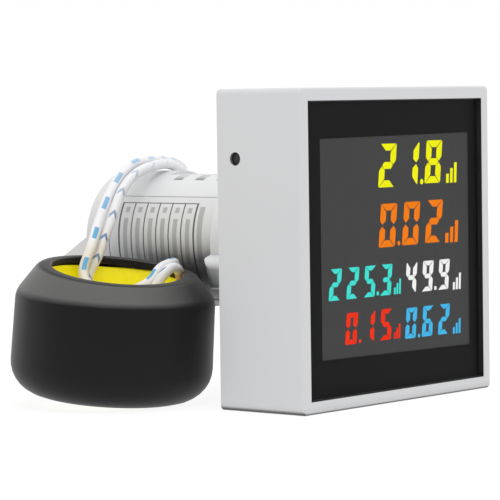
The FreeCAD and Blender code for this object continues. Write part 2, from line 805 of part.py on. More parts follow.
def terminals():
    plates = []
    for tag, side in (("left", -1), ("right", 1)):
        middle = channel_middle(side)
        depth = value("channel_depth")
        centre = value("screw_along")
        half = value("plate_width") / 2
        start = value("channel_start") + value("seat_gap")
        plate = doc.addObject("Part::Box", "Plate" + tag)
        bind(plate, "Length", "plate_width")
        bind(plate, "Width", "plate_length")
        bind(plate, "Height", "plate_thick")
        on_slope(plate, middle - half, start, -depth)
        reach = slope_place(start + value("tab_reach"), -depth)
        tab = box("Tab" + tag, str(middle) + " - tab_width/2", str(reach.y) + " - tab_length",
                  "power_board_top", "tab_width", "tab_length", "plate_thick")
        hole = doc.addObject("Part::Cylinder", "PlateHole" + tag)
        bind(hole, "Radius", "screw_radius + screw_gap")
        bind(hole, "Height", "2*hole_reach")
        on_slope(hole, middle, centre, -depth - value("hole_reach"))
        plates.append(cut("PlateCut" + tag, fuse("PlateSolid" + tag, [plate, tab]), hole))

        clamp = doc.addObject("Part::Box", "Clamp" + tag)
        bind(clamp, "Length", "clamp_side")
        bind(clamp, "Width", "clamp_side")
        bind(clamp, "Height", "clamp_thick")
        half_clamp = value("clamp_side") / 2
        on_slope(clamp, middle - half_clamp, centre - half_clamp, -depth + value("plate_thick"))
        clamp_hole = doc.addObject("Part::Cylinder", "ClampHole" + tag)
        bind(clamp_hole, "Radius", "screw_radius + screw_gap")
        bind(clamp_hole, "Height", "2*hole_reach")
        on_slope(clamp_hole, middle, centre, -depth - value("hole_reach"))
        piece("clamp_washer_" + tag, cut("ClampCut" + tag, clamp, clamp_hole))

        head_base = -depth + value("plate_thick") + value("clamp_thick")
        shank = doc.addObject("Part::Cylinder", "Shank" + tag)
        bind(shank, "Radius", "screw_radius")
        bind(shank, "Height", "screw_length")
        on_slope(shank, middle, centre, head_base - value("screw_length"))
        head = doc.addObject("Part::Cylinder", "Head" + tag)
        bind(head, "Radius", "screw_head_radius")
        bind(head, "Height", "screw_head_height")
        on_slope(head, middle, centre, head_base)
        slot = doc.addObject("Part::Box", "Slot" + tag)
        bind(slot, "Length", "2*screw_head_radius")
        bind(slot, "Width", "screw_slot")
        bind(slot, "Height", "screw_head_height")
        on_slope(slot, middle - value("screw_head_radius"), centre - value("screw_slot") / 2,
                 head_base + value("screw_head_height") / 2)
        screw = fuse("ScrewSolid" + tag, [shank, head])
        piece("terminal_screw_" + tag, cut("Screw" + tag, screw, slot))
    piece("terminal_plates", group("TerminalPlates", plates))


# Lead grommet and label
def lead_grommet():
    inner = "barrel_length + grommet_sunk"
    outside = lead_oval("GrommetOutside", "lead_bore/2 + grommet_wall - seat_gap/2", inner,
                        "flange_thick - grommet_sunk + grommet_length")
    piece("lead_grommet", outside)


def rating_label():
    inner = "thread_crest - label_recess + label_gap"
    label = beside_barrel("RatingLabel", inner, inner + " + label_thick",
                          "label_start", "label_length", "label_up", "label_down")
    return piece("rating_label", label)


# Current transformer: core, winding, tape wrap and rubber sleeve, all turned about one axis
def ring_face(corners, rounds):
    """A face in the XZ plane from corners in order, with some corners rounded by arcs."""
    edges = []
    count = len(corners)
    starts = []
    ends = []
    for index in range(count):
        before = FreeCAD.Vector(corners[index - 1][0], 0, corners[index - 1][1])
        point = FreeCAD.Vector(corners[index][0], 0, corners[index][1])
        after = FreeCAD.Vector(corners[(index + 1) % count][0], 0, corners[(index + 1) % count][1])
        radius = rounds[index]
        if radius == 0:
            starts.append(point)
            ends.append(point)
            continue
        back = (before - point).normalize()
        on = (after - point).normalize()
        half = back.getAngle(on) / 2
        reach = radius / math.tan(half)
        centre = point + (back + on).normalize() * (radius / math.sin(half))
        middle = centre + (point - centre).normalize() * radius
        starts.append(point + back * reach)
        ends.append(point + on * reach)
        edges.append(Part.Arc(starts[-1], middle, ends[-1]).toShape())
    for index in range(count):
        start, end = ends[index], starts[(index + 1) % count]
        if start.distanceToPoint(end) > 1e-6:
            edges.append(Part.LineSegment(start, end).toShape())
    return Part.Face(Part.Wire(Part.__sortEdges__(edges)))


def inset(corners, distance):
    """The corners of an outline after each of its sides has moved inward."""
    moved = []
    for index in range(len(corners)):
        point = FreeCAD.Vector(*corners[index], 0)
        back = (FreeCAD.Vector(*corners[index - 1], 0) - point).normalize()
        on = (FreeCAD.Vector(*corners[(index + 1) % len(corners)], 0) - point).normalize()
        half = back.getAngle(on) / 2
        moved.append(point + (back + on).normalize() * (distance / math.sin(half)))
    return [(corner.x, corner.y) for corner in moved]


def turned(face):
    return face.revolve(FreeCAD.Vector(0, 0, 0), FreeCAD.Vector(0, 0, 1), 360)


def ring_part(label, name, shape):
    """Puts a shape that was turned about +Z on the ring's leaning axis."""
    ring = doc.addObject("Part::Feature", name)
    ring.Shape = shape
    ring.Placement = FreeCAD.Placement(
        FreeCAD.Vector(-value("ring_left"), value("ring_back"), -value("ring_low")),
        FreeCAD.Rotation(FreeCAD.Vector(1, 0, 0), value("ring_lean")))
    return piece(label, ring)


def current_transformer():
    radius = value("sleeve_radius")
    half = value("sleeve_height") / 2
    wall = value("sleeve_wall")
    mouth = value("mouth_radius")
    lip = value("lip_round")
    shell = [
        (mouth, half),
        (value("shoulder_start"), half),
        (radius - value("sleeve_taper"), half - value("shoulder_drop")),
        (radius, -half),
        (mouth, -half),
    ]
    rounds = [value("shoulder_round"), value("flank_round"), value("bottom_round")]
    inner = inset(shell, wall)
    sleeve = ring_face(
        shell + [(mouth, -half + wall), inner[3], inner[2], inner[1], (mouth, half - wall)],
        [lip] + rounds + [lip, 0] + [r - wall for r in reversed(rounds)] + [0])
    ring_part("ct_sleeve", "CtSleeve", turned(sleeve))

    gap = value("wrap_gap")
    bore = value("bore_radius")
    top = half - wall - gap
    packed = inset(shell, wall + gap)
    wrap = turned(ring_face(
        [(bore, -top), (bore, value("bore_top")), (mouth - gap, top)] + packed[1:4],
        [0, 0, 0] + [r - wall - gap for r in rounds]))
    core_round = value("wrap_thick")
    core_in = value("core_inside")
    core_out = value("core_outside")
    core_half = value("core_height") / 2
    turns = value("winding_thick")
    cavity = turned(ring_face(
        [(core_in - turns - gap, -core_half - turns - gap),
         (core_in - turns - gap, core_half + turns + gap),
         (core_out + turns + gap, core_half + turns + gap),
         (core_out + turns + gap, -core_half - turns - gap)],
        [0, 0, core_round, core_round]))
    ring_part("ct_tape_wrap", "CtTapeWrap", wrap.cut(cavity))
    winding = turned(ring_face(
        [(core_in - turns, -core_half - turns), (core_in - turns, core_half + turns),
         (core_out + turns, core_half + turns), (core_out + turns, -core_half - turns)],
        [turns / 2, turns / 2, turns, turns]))
    hollow = turned(ring_face(
        [(core_in - gap, -core_half - gap), (core_in - gap, core_half + gap),
         (core_out + gap, core_half + gap), (core_out + gap, -core_half - gap)], [0, 0, 0, 0]))
    ring_part("ct_winding", "CtWinding", winding.cut(hollow))
    core = turned(ring_face(
        [(core_in, -core_half), (core_in, core_half), (core_out, core_half), (core_out, -core_half)],
        [0, 0, 0, 0]))
    ring_part("ct_core", "CtCore", core)


# Leads: out of the grommet, round behind, over the barrel, into the ring's mouth and out again
# over its rim into the sleeve's shoulder
lead_a_points = [
    (6.1, 42.0, 5.4), (6.1, 46.0, 5.4), (7.5, 50.0, 5.6), (11.2, 52.1, 6.0),
    (15.3, 50.9, 6.7), (17.7, 47.1, 7.3), (17.1, 40.7, 7.8), (13.9, 35.0, 8.4),
    (8.2, 30.4, 9.8), (2.6, 28.9, 12.3), (-3.5, 29.5, 12.9), (-9.1, 30.9, 11.9),
    (-13.2, 31.7, 8.4), (-15.6, 32.0, 4.0), (-18.4, 31.3, 0.7), (-21.9, 29.3, -0.5),
    (-24.2, 26.0, -4.0), (-25.0, 21.4, -7.2), (-24.0, 17.5, -7.7), (-21.9, 15.5, -5.8),
    (-19.9, 15.8, -3.4), (-17.2, 15.7, -2.8), (-14.9, 16.1, -2.9), (-13.9, 17.7, -4.3),
]
lead_b_points = [
    (4.3, 42.0, 5.4), (4.3, 46.0, 5.4), (5.9, 51.0, 5.6), (10.9, 54.2, 6.0),
    (16.5, 52.6, 6.6), (19.4, 47.3, 7.2), (18.9, 40.5, 7.8), (15.3, 33.8, 8.4),
    (9.0, 28.8, 9.8), (2.6, 27.1, 12.3), (-3.7, 27.7, 12.9), (-9.3, 29.1, 11.9),
    (-13.2, 29.9, 8.4), (-15.0, 30.2, 4.0), (-17.2, 29.9, 0.7), (-20.5, 28.1, -0.6),
    (-22.3, 25.0, -4.0), (-22.8, 21.1, -7.7), (-22.2, 17.2, -8.9), (-22.0, 14.4, -7.3),
    (-21.1, 13.7, -4.6), (-18.3, 13.7, -3.6), (-16.3, 14.6, -4.2), (-14.7, 15.6, -4.7),
]


def rounded_path(points):
    """Straight runs joined by tangent arcs, each as large as its shorter run allows."""
    edges = []
    radii = []
    start = points[0]
    for index in range(1, len(points) - 1):
        back = points[index - 1] - points[index]
        on = points[index + 1] - points[index]
        shorter = min(back.Length, on.Length)
        half_turn = (math.pi - back.getAngle(on)) / 2
        radius = 0.45 * shorter / math.tan(half_turn)
        radii.append(radius)
        reach = 0.45 * shorter
        first = points[index] + back.normalize() * reach
        last = points[index] + on.normalize() * reach
        centre = points[index] + (back + on).normalize() * (radius / math.cos(half_turn))
        middle = centre + (points[index] - centre).normalize() * radius
        edges.append(Part.LineSegment(start, first).toShape())
        edges.append(Part.Arc(first, middle, last).toShape())
        start = last
    edges.append(Part.LineSegment(start, points[-1]).toShape())
    return Part.Wire(edges), radii


def lead(label, name, route):
    points = [FreeCAD.Vector(*p) for p in route]
    path, radii = rounded_path(points)
    radius = value("lead_bore") / 2
    first = (points[1] - points[0]).normalize()
    section = Part.Wire([Part.Circle(points[0], first, radius).toShape()])
    tube = path.makePipeShell([section], True, False)
    expected = math.pi * radius ** 2 * path.Length
    print(label, "length", round(path.Length, 1), "least radius", round(min(radii), 2),
          "volume over expected", round(tube.Volume / expected, 4))
    print("  radii", [round(r, 1) for r in radii])
    wire = doc.addObject("Part::Feature", name)
    wire.Shape = tube
    return piece(label, wire)


front_housing()
display_window()
display_stack()
main_board()
power_board()
rear_cover()
nut_washer()
mounting_nut()
terminal_block()
terminals()
lead_grommet()
rating_label()
current_transformer()
lead("ct_lead_a", "CtLeadA", lead_a_points)
lead("ct_lead_b", "CtLeadB", lead_b_points)
doc.recompute()

for thing in doc.Objects:
    if "Invalid" in thing.State or "Error" in thing.State:
        raise RuntimeError(thing.Name + " failed: " + str(thing.State))
for part in pieces:
    if part.Shape.isNull() or not part.Shape.isValid():
        raise RuntimeError(part.Label + " has no valid shape")
for part in pieces:
    part.Shape.exportStep("parts/" + part.Label + ".step")
print(len(pieces), "pieces written")
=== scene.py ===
# %% [markdown]
# # A panel power meter
# The meter is a square white head with a colour display, a threaded barrel behind it with a
# lobed nut, and a black ring that hangs on a pair of thin leads and senses the current. Its
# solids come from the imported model. This file gives them their finishes, and makes anew what
# a solid can't show well: the two leads, the soft sleeve and tape of the ring, and the lit
# figures of the display.

# %% Load the meter's solids
import math
from functools import partial

import bmesh
import bpy
from mathutils import Matrix, Vector, noise


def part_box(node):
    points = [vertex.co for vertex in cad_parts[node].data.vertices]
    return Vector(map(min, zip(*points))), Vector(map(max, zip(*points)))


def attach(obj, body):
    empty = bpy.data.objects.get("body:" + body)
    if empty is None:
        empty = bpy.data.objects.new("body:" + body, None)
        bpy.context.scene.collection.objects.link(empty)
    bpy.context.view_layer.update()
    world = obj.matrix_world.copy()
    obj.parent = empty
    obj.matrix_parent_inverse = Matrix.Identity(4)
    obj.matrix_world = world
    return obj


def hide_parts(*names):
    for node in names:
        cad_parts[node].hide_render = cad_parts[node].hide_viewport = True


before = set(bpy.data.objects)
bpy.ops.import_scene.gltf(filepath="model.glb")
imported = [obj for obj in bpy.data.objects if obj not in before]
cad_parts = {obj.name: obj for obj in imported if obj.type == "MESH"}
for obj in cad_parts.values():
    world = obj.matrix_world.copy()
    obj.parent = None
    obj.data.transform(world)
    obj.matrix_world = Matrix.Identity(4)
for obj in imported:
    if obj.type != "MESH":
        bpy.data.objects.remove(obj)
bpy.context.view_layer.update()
mm = 0.001

# %% [markdown]
# ## The camera
# The photograph looks at the meter from its left front, from a little above the table, with a
# long lens. A camera is turned here by its own three directions, right, up and back, because
# these were what fitting the head's corners to the picture gave.

# %% Place the camera


def into_scene(name, data):
    """Makes an object of the data of a mesh, a curve, a lamp or a camera."""
    made = bpy.data.objects.new(name, data)
    bpy.context.collection.objects.link(made)
    return made


turn_right = math.radians(50.4)
look_down = math.radians(3.16)
tilt = math.radians(-0.82)
camera_place = Vector((-334.744, -263.146, 22.440)) * mm
focal_pixels, frame_pixels = 2732.3, 500.0
forward = Vector((math.sin(turn_right) * math.cos(look_down),
                  math.cos(turn_right) * math.cos(look_down),
                  -math.sin(look_down)))
level_right = Vector((math.cos(turn_right), -math.sin(turn_right), 0.0))
level_up = level_right.cross(forward)
camera_right = math.cos(tilt) * level_right + math.sin(tilt) * level_up
camera_up = -math.sin(tilt) * level_right + math.cos(tilt) * level_up
camera_data = bpy.data.cameras.new("camera")
camera_data.sensor_width = 36.0
camera_data.lens = camera_data.sensor_width * focal_pixels / frame_pixels
camera_data.clip_start = 0.01
camera_data.clip_end = 20.0
camera = into_scene("camera", camera_data)
facing = Matrix((camera_right, camera_up, -forward)).transposed().to_4x4()
camera.matrix_world = Matrix.Translation(camera_place) @ facing
bpy.context.scene.camera = camera
print("lens", round(camera_data.lens, 1), "mm")

# %% [markdown]
# ## The leads' routes
# Two limp leads leave a grommet at the rear, loop round out of sight, cross over the barrel and
# dip into the ring's mouth. A NURBS spline of order 3 that is drawn along by a few control
# points gives one smooth line for each, as a soft wire lies. The spline is read once as points,
# so that a tube and its printed marks can follow it.

# %% Draw the two routes
lead_width = 1.6 * mm
steps_per_point = 14
route_a = [
    (6.1, 42.0, 5.4), (6.1, 46.0, 5.4), (7.5, 50.0, 5.6), (11.2, 52.1, 6.0),
    (15.3, 50.9, 6.7), (17.7, 47.1, 7.4), (17.4, 42.2, 8.0), (14.0, 39.4, 9.0),
    (9.6, 36.1, 11.6), (3.6, 34.5, 12.6), (-3.2, 31.9, 12.7), (-9.1, 31.2, 12.3),
    (-13.5, 31.1, 8.4), (-17.7, 29.8, 4.0), (-20.2, 28.8, 1.0), (-22.4, 27.4, -0.4),
    (-25.7, 26.8, -4.5), (-26.8, 22.5, -7.4), (-24.6, 18.0, -7.0), (-21.5, 15.8, -5.5),
    (-19.7, 15.7, -3.4), (-17.5, 15.5, -2.8), (-15.4, 16.1, -2.7), (-14.0, 17.4, -3.9),
]
route_b = [
    (4.3, 42.0, 5.4), (4.3, 46.0, 5.4), (5.9, 51.0, 5.6), (10.9, 54.2, 6.0),
    (16.5, 52.6, 6.6), (19.4, 47.8, 7.2), (19.3, 42.1, 7.7), (16.1, 37.3, 8.3),
    (9.4, 34.4, 9.6), (3.5, 32.6, 11.8), (-2.8, 29.6, 12.3), (-9.3, 29.2, 11.3),
    (-13.2, 29.3, 8.2), (-16.1, 28.6, 4.0), (-18.5, 28.6, 0.3), (-20.6, 27.6, -1.8),
    (-24.5, 27.2, -5.6), (-25.1, 22.5, -8.3), (-23.1, 17.4, -8.5), (-22.5, 14.8, -7.1),
    (-21.6, 13.8, -4.9), (-19.9, 13.5, -3.3), (-17.9, 13.6, -3.3), (-16.5, 14.1, -4.6),
    (-15.9, 14.5, -6.2),
]


def read_route(name, points):
    """Turns control points in millimetres into a dense run of points along their spline."""
    line = bpy.data.curves.new(name, "CURVE")
    line.dimensions = "3D"
    line.resolution_u = steps_per_point
    spline = line.splines.new("NURBS")
    spline.points.add(len(points) - 1)
    for control, place in zip(spline.points, points):
        control.co = (*(Vector(place) * mm), 1.0)
    spline.order_u = 3
    spline.use_endpoint_u = True
    holder = into_scene(name, line)
    bpy.context.view_layer.update()
    sampled = bpy.data.meshes.new_from_object(holder)
    path = [vert.co.copy() for vert in sampled.vertices]
    bpy.data.objects.remove(holder)
    bpy.data.meshes.remove(sampled)
    return path


def path_length(path):
    """The length of a run of points."""
    return sum((b - a).length for a, b in zip(path, path[1:]))


path_a = read_route("route_a", route_a)
path_b = read_route("route_b", route_b)
for letter, path in (("a", path_a), ("b", path_b)):
    print("lead", letter, round(path_length(path) / mm, 1), "mm in", len(path), "points")

# %% [markdown]
# ## A tube with a side that stays put
# Each lead has blue marks printed along one side, which don't all lie equally far apart. A
# straight tube gets a UV map while it is still straight, with the running number of the mark in
# u and the way round in v, and only then is carried onto the route. The tube's side direction is
# handed on from point to point without twist, so the marks run along the wire.

# %% Hand a side on, and count the marks


def carried_frames(path, side, settled_at=0.62):
    """Gives directions along and beside a path. The side is the given one at a share of the way."""
    last = len(path) - 1
    along = [(path[min(index + 1, last)] - path[max(index - 1, 0)]).normalized()
             for index in range(len(path))]
    sides = [None] * len(path)
    middle = int(len(path) * settled_at)
    sides[middle] = (side - along[middle] * side.dot(along[middle])).normalized()
    onwards = [(index, index - 1) for index in range(middle + 1, len(path))]
    backwards = [(index, index + 1) for index in range(middle - 1, -1, -1)]
    for index, neighbour in onwards + backwards:
        carried = sides[neighbour]
        sides[index] = (carried - along[index] * carried.dot(along[index])).normalized()
    return along, sides


def mark_number(length, marks_at):
    """Counts marks up to a length, by the lengths of the marks, and goes on beyond both ends."""
    first, last = marks_at[0], marks_at[-1]
    step = (last - first) / (len(marks_at) - 1)
    if length <= first:
        return (length - first) / step
    for index, (low, high) in enumerate(zip(marks_at, marks_at[1:])):
        if length <= high:
            return index + (length - low) / (high - low)
    return len(marks_at) - 1 + (length - last) / step


print("halfway between the first two marks:", mark_number(5.0, [0.0, 10.0]))

# %% [markdown]
# The tube starts as a cylinder one unit high with flat ends. Its long edges are cut into as many
# steps as the path has, and each ring of corners is then set round its own point of the path.

# %% Make the two tubes


def shape_into_scene(name, shape):
    """Makes an object of a bmesh, and frees the bmesh."""
    mesh = bpy.data.meshes.new(name)
    shape.to_mesh(mesh)
    shape.free()
    return into_scene(name, mesh)


def tube_on(name, path, width, side, marks_at, around=20):
    """Bends a straight tube onto a path. Its UV map is the mark's number and the way round."""
    shape = bmesh.new()
    bmesh.ops.create_cone(shape, cap_ends=True, segments=around, radius1=width / 2,
                          radius2=width / 2, depth=1.0)
    lengthwise = [e for e in shape.edges if abs(e.verts[0].co.z - e.verts[1].co.z) > 0.5]
    bmesh.ops.subdivide_edges(shape, edges=lengthwise, cuts=len(path) - 2)
    uv = shape.loops.layers.uv.new("UVMap")
    steps = len(path) - 1
    travelled = [0.0]
    for a, b in zip(path, path[1:]):
        travelled.append(travelled[-1] + (b - a).length)
    for face in shape.faces:
        angles = [math.atan2(loop.vert.co.y, loop.vert.co.x) for loop in face.loops]
        for loop, angle in zip(face.loops, angles):
            if max(angles) - min(angles) > math.pi and angle < 0:
                angle += 2 * math.pi
            ring = round((loop.vert.co.z + 0.5) * steps)
            number = mark_number(travelled[ring] / mm, marks_at)
            loop[uv].uv = (number, angle / (2 * math.pi))
    along, sides = carried_frames(path, side)
    for vert in shape.verts:
        ring = round((vert.co.z + 0.5) * steps)
        across = along[ring].cross(sides[ring])
        vert.co = path[ring] + sides[ring] * vert.co.x + across * vert.co.y
    bmesh.ops.recalc_face_normals(shape, faces=shape.faces)
    for face in shape.faces:
        face.smooth = len(face.verts) == 4
    return shape_into_scene(name, shape)


to_camera = (camera_place - Vector((-15, 30, 0)) * mm).normalized()
marks_a = [40.4, 44.6, 49.4, 53.8, 58.7, 64.25, 70.85, 77.65]
first_b, last_b = 51.8, 81.9
marks_b = [first_b + step * (last_b - first_b) / 7 for step in range(8)]
lead_a = tube_on("lead_a", path_a, lead_width, to_camera, marks_a)
lead_b = tube_on("lead_b", path_b, lead_width, to_camera, marks_b)
for piece, path, node in ((lead_a, path_a, "ct_lead_a"), (lead_b, path_b, "ct_lead_b")):
    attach(piece, "meter")
    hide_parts(node)
print("tubes", len(lead_a.data.polygons), len(lead_b.data.polygons), "faces")

# %% [markdown]
# ## Floor and light
# A white floor and a white sky stand for the studio. The floor glows by itself, as a lit table
# does, so that it meets the sky without a line and takes hardly any shadow. One broad soft lamp
# above gives the upper sides of the white head and the barrel their lighter tone.

# %% Set the floor and the lights
floor_height = -24.0 * mm
floor_gap = 0.05 * mm
floor_shape = bmesh.new()
bmesh.ops.create_grid(floor_shape, x_segments=1, y_segments=1, size=3.0)
bmesh.ops.translate(floor_shape, verts=floor_shape.verts, vec=(0, 0, floor_height - floor_gap))
floor = shape_into_scene("floor", floor_shape)

world = bpy.data.worlds.new("studio")
world.use_nodes = True
sky = world.node_tree.nodes["Background"]
sky.inputs["Color"].default_value = (1.0, 1.0, 1.0, 1.0)
sky.inputs["Strength"].default_value = 1.0
bpy.context.scene.world = world
bpy.context.scene.view_settings.view_transform = "Standard"

lamp_data = bpy.data.lights.new("lamp_above", "AREA")
lamp_data.shape = "SQUARE"
lamp_data.size = 360 * mm
lamp_data.energy = 0.62
lamp = into_scene("lamp_above", lamp_data)
lamp_place, lamp_aim = Vector((-70, -90, 420)), Vector((-10, 10, 0))
lamp.location = lamp_place * mm
lamp.rotation_euler = (lamp_aim - lamp_place).to_track_quat("-Z", "Y").to_euler()
print("lamp", round(lamp_data.size / mm), "mm wide")

# %% [markdown]
# ## Shared finishes: grain
# Moulded plastic, rubber, tape and sheet all have some fine grain and some slow change of
# tone. One shader group gives both from noise on the piece's own coordinates, and each material
# sets its scale and amount. It puts out a height for a bump, a tone and a roughness. Small
# helpers build it, so that a sum reads as one line.

# %% Build the grain group


def feed(tree, given, socket):
    """Links a socket to an input, or sets the input to a plain number or colour."""
    if isinstance(given, (int, float)):
        socket.default_value = given
    elif isinstance(given, tuple):
        socket.default_value = (*given, 1.0)
    else:
        tree.links.new(given, socket)


def group_with(name, inputs, outputs):
    """Starts a shader group that takes a place and named numbers, and puts out numbers."""
    tree = bpy.data.node_groups.new(name, "ShaderNodeTree")
    tree.interface.new_socket("Place", in_out="INPUT", socket_type="NodeSocketVector")
    for direction, labels in (("INPUT", inputs), ("OUTPUT", outputs)):
        for label in labels:
            tree.interface.new_socket(label, in_out=direction, socket_type="NodeSocketFloat")
    start, end = tree.nodes.new("NodeGroupInput"), tree.nodes.new("NodeGroupOutput")
    return tree, start.outputs, end.inputs


def math_node(tree, kind, first, second=None, third=None, limit=False):
    """A Math node whose inputs are sockets or plain numbers."""
    node = tree.nodes.new("ShaderNodeMath")
    node.operation = kind
    node.use_clamp = limit
    for slot, given in enumerate((first, second, third)):
        if given is not None:
            feed(tree, given, node.inputs[slot])
    return node.outputs[0]


def noise_in(tree, place, scale, detail):
    """The strength of a noise, from 0 to 1, at a place."""
    node = tree.nodes.new("ShaderNodeTexNoise")
    tree.links.new(place, node.inputs["Vector"])
    feed(tree, scale, node.inputs["Scale"])
    feed(tree, detail, node.inputs["Detail"])
    return node.outputs["Fac"]


grain, grain_in, grain_out = group_with(
    "surface_grain", ["Grain size", "Tone size", "Roughness", "Roughness spread"],
    ["Height", "Tone", "Roughness"])
fine = noise_in(grain, grain_in["Place"], grain_in["Grain size"], 3.0)
slow = noise_in(grain, grain_in["Place"], grain_in["Tone size"], 2.0)
centred = math_node(grain, "SUBTRACT", slow, 0.5)
spread = math_node(grain, "MULTIPLY", centred, grain_in["Roughness spread"])
rough = math_node(grain, "ADD", spread, grain_in["Roughness"], limit=True)
for label, value in (("Height", fine), ("Tone", slow), ("Roughness", rough)):
    grain.links.new(value, grain_out[label])
print("grain group", len(grain.nodes), "nodes")

# %% [markdown]
# ## A material from the grain
# Most of the meter's parts differ only in colour, gloss and grain. This helper places the
# grain group in a new material, mixes two near colours by its slow tone, and feeds a bump.

# %% Make the plain material helper
relief_depth = 0.1 * mm


def principled(finish):
    """The shader of a finish."""
    return finish.node_tree.nodes["Principled BSDF"]


def object_place(tree):
    """The place on the piece, in its own coordinates."""
    return tree.nodes.new("ShaderNodeTexCoord").outputs["Object"]


def put_group(tree, group, place, numbers):
    """Puts a group into a material, with its place linked and its numbers set."""
    use = tree.nodes.new("ShaderNodeGroup")
    use.node_tree = group
    tree.links.new(place, use.inputs["Place"])
    for label, number in numbers.items():
        use.inputs[label].default_value = number
    return use


def colour_mix(tree, factor, first, second):
    """Mixes two colours, each plain or a socket's, from the first at 0 to the second at 1."""
    node = tree.nodes.new("ShaderNodeMix")
    node.data_type = "RGBA"
    feed(tree, factor, node.inputs["Factor"])
    feed(tree, first, node.inputs["A"])
    feed(tree, second, node.inputs["B"])
    return node.outputs["Result"]


def grained(name, light, dark, roughness, spread=0.12, grain_size=2600, tone_size=60,
            bump=0.08, metal=0.0, specular=0.5):
    """A finish with two near colours, a fine bump and a slow change of gloss."""
    finish = bpy.data.materials.new(name)
    finish.use_nodes = True
    tree, shader = finish.node_tree, principled(finish)
    use = put_group(tree, grain, object_place(tree),
                    {"Grain size": grain_size, "Tone size": tone_size,
                     "Roughness": roughness, "Roughness spread": spread})
    tone = colour_mix(tree, use.outputs["Tone"], dark, light)
    tree.links.new(tone, shader.inputs["Base Color"])
    tree.links.new(use.outputs["Roughness"], shader.inputs["Roughness"])
    relief = tree.nodes.new("ShaderNodeBump")
    relief.inputs["Strength"].default_value = bump
    relief.inputs["Distance"].default_value = relief_depth
    tree.links.new(use.outputs["Height"], relief.inputs["Height"])
    tree.links.new(relief.outputs["Normal"], shader.inputs["Normal"])
    shader.inputs["Metallic"].default_value = metal
    shader.inputs["Specular IOR Level"].default_value = specular
    return finish


def glow(finish, colour, strength):
    """Lets a finish give off light of a plain colour, or of a socket's."""
    feed(finish.node_tree, colour, principled(finish).inputs["Emission Color"])
    principled(finish).inputs["Emission Strength"].default_value = strength


floor_white = grained("studio_floor", (0.12, 0.12, 0.12), (0.11, 0.11, 0.11), 0.9,
                      grain_size=40, tone_size=2, bump=0.0, specular=0.0)
glow(floor_white, (1.0, 1.0, 1.0), 0.91)
floor.data.materials.append(floor_white)
print("floor finished")

# %% [markdown]
# ## White mouldings
# The head, the barrel and the nut are white plastic from a mould, with a fine satin grain and
# only a faint change of tone. The parts inside are plainer.

# %% Finish the white mouldings


def wear_finish(finish, *nodes):
    """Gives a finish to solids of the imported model."""
    for node in nodes:
        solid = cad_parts[node]
        solid.data.materials.clear()
        solid.data.materials.append(finish)


housing_white = grained("housing_white", (0.60, 0.603, 0.612), (0.575, 0.578, 0.587), 0.42)
barrel_white = grained("barrel_white", (0.68, 0.685, 0.69), (0.65, 0.655, 0.66), 0.38)
nut_white = grained("nut_white", (0.72, 0.73, 0.74), (0.69, 0.70, 0.71), 0.4)
inner_white = grained("inner_white", (0.66, 0.66, 0.65), (0.62, 0.62, 0.61), 0.5)
washer_grey = grained("washer_grey", (0.20, 0.20, 0.21), (0.16, 0.16, 0.17), 0.7)
grommet_grey = grained("grommet_grey", (0.52, 0.52, 0.52), (0.48, 0.48, 0.48), 0.6)
wear_finish(housing_white, "front_housing")
wear_finish(barrel_white, "rear_cover")
wear_finish(nut_white, "mounting_nut")
wear_finish(inner_white, "terminal_block", "display_tray")
wear_finish(washer_grey, "nut_washer")
wear_finish(grommet_grey, "lead_grommet")
print("white mouldings done")

# %% [markdown]
# ## Metal and boards
# Screws and clamp washers are bright zinc, the terminal plates brass, and the boards green. The
# parts on the boards each have the colour that their kind usually has.

# %% Finish the metal and the boards
hidden_finishes = (
    ("bright_zinc", (0.68, 0.68, 0.70), (0.60, 0.60, 0.62), 0.28,
     {"grain_size": 1800, "bump": 0.05, "metal": 1.0},
     ["clamp_washer_left", "clamp_washer_right", "terminal_screw_left",
      "terminal_screw_right"]),
    ("stamped_brass", (0.72, 0.55, 0.26), (0.62, 0.45, 0.20), 0.32,
     {"grain_size": 1500, "bump": 0.06, "metal": 1.0}, ["terminal_plates"]),
    ("dull_tin", (0.62, 0.62, 0.63), (0.55, 0.55, 0.56), 0.4, {"metal": 1.0},
     ["lcd_pins", "board_link_pins"]),
    ("wound_copper", (0.60, 0.26, 0.11), (0.45, 0.18, 0.07), 0.35, {"metal": 1.0},
     ["ct_winding"]),
    ("core_grey", (0.24, 0.24, 0.25), (0.18, 0.18, 0.19), 0.5, {"metal": 0.8}, ["ct_core"]),
    ("board_green", (0.03, 0.16, 0.07), (0.02, 0.11, 0.05), 0.35,
     {"grain_size": 900, "tone_size": 400, "bump": 0.12}, ["main_board", "power_board"]),
    ("chip_black", (0.03, 0.03, 0.03), (0.02, 0.02, 0.02), 0.55, {},
     ["controller_chip", "metering_chip", "setting_switch", "rectifier"]),
    ("button_black", (0.02, 0.02, 0.02), (0.012, 0.012, 0.012), 0.6, {}, ["setting_button"]),
    ("capacitor_yellow", (0.62, 0.42, 0.05), (0.52, 0.34, 0.03), 0.35, {}, ["film_capacitor"]),
    ("can_dark", (0.04, 0.04, 0.08), (0.03, 0.03, 0.06), 0.3, {}, ["smoothing_capacitor"]),
    ("varistor_blue", (0.02, 0.10, 0.36), (0.015, 0.07, 0.26), 0.35, {}, ["varistor"]),
)
for name, light, dark, roughness, more, nodes in hidden_finishes:
    wear_finish(grained(name, light, dark, roughness, **more), *nodes)
print("finishes on metal and boards", len(hidden_finishes))

# %% [markdown]
# ## The display's layers
# Behind the window lies a dark liquid crystal panel that lets a little of its back light
# through, so it looks charcoal beside the window's black printed border. The film and the light
# guide are behind it. The window itself is hardly smoked and has a weak gloss.

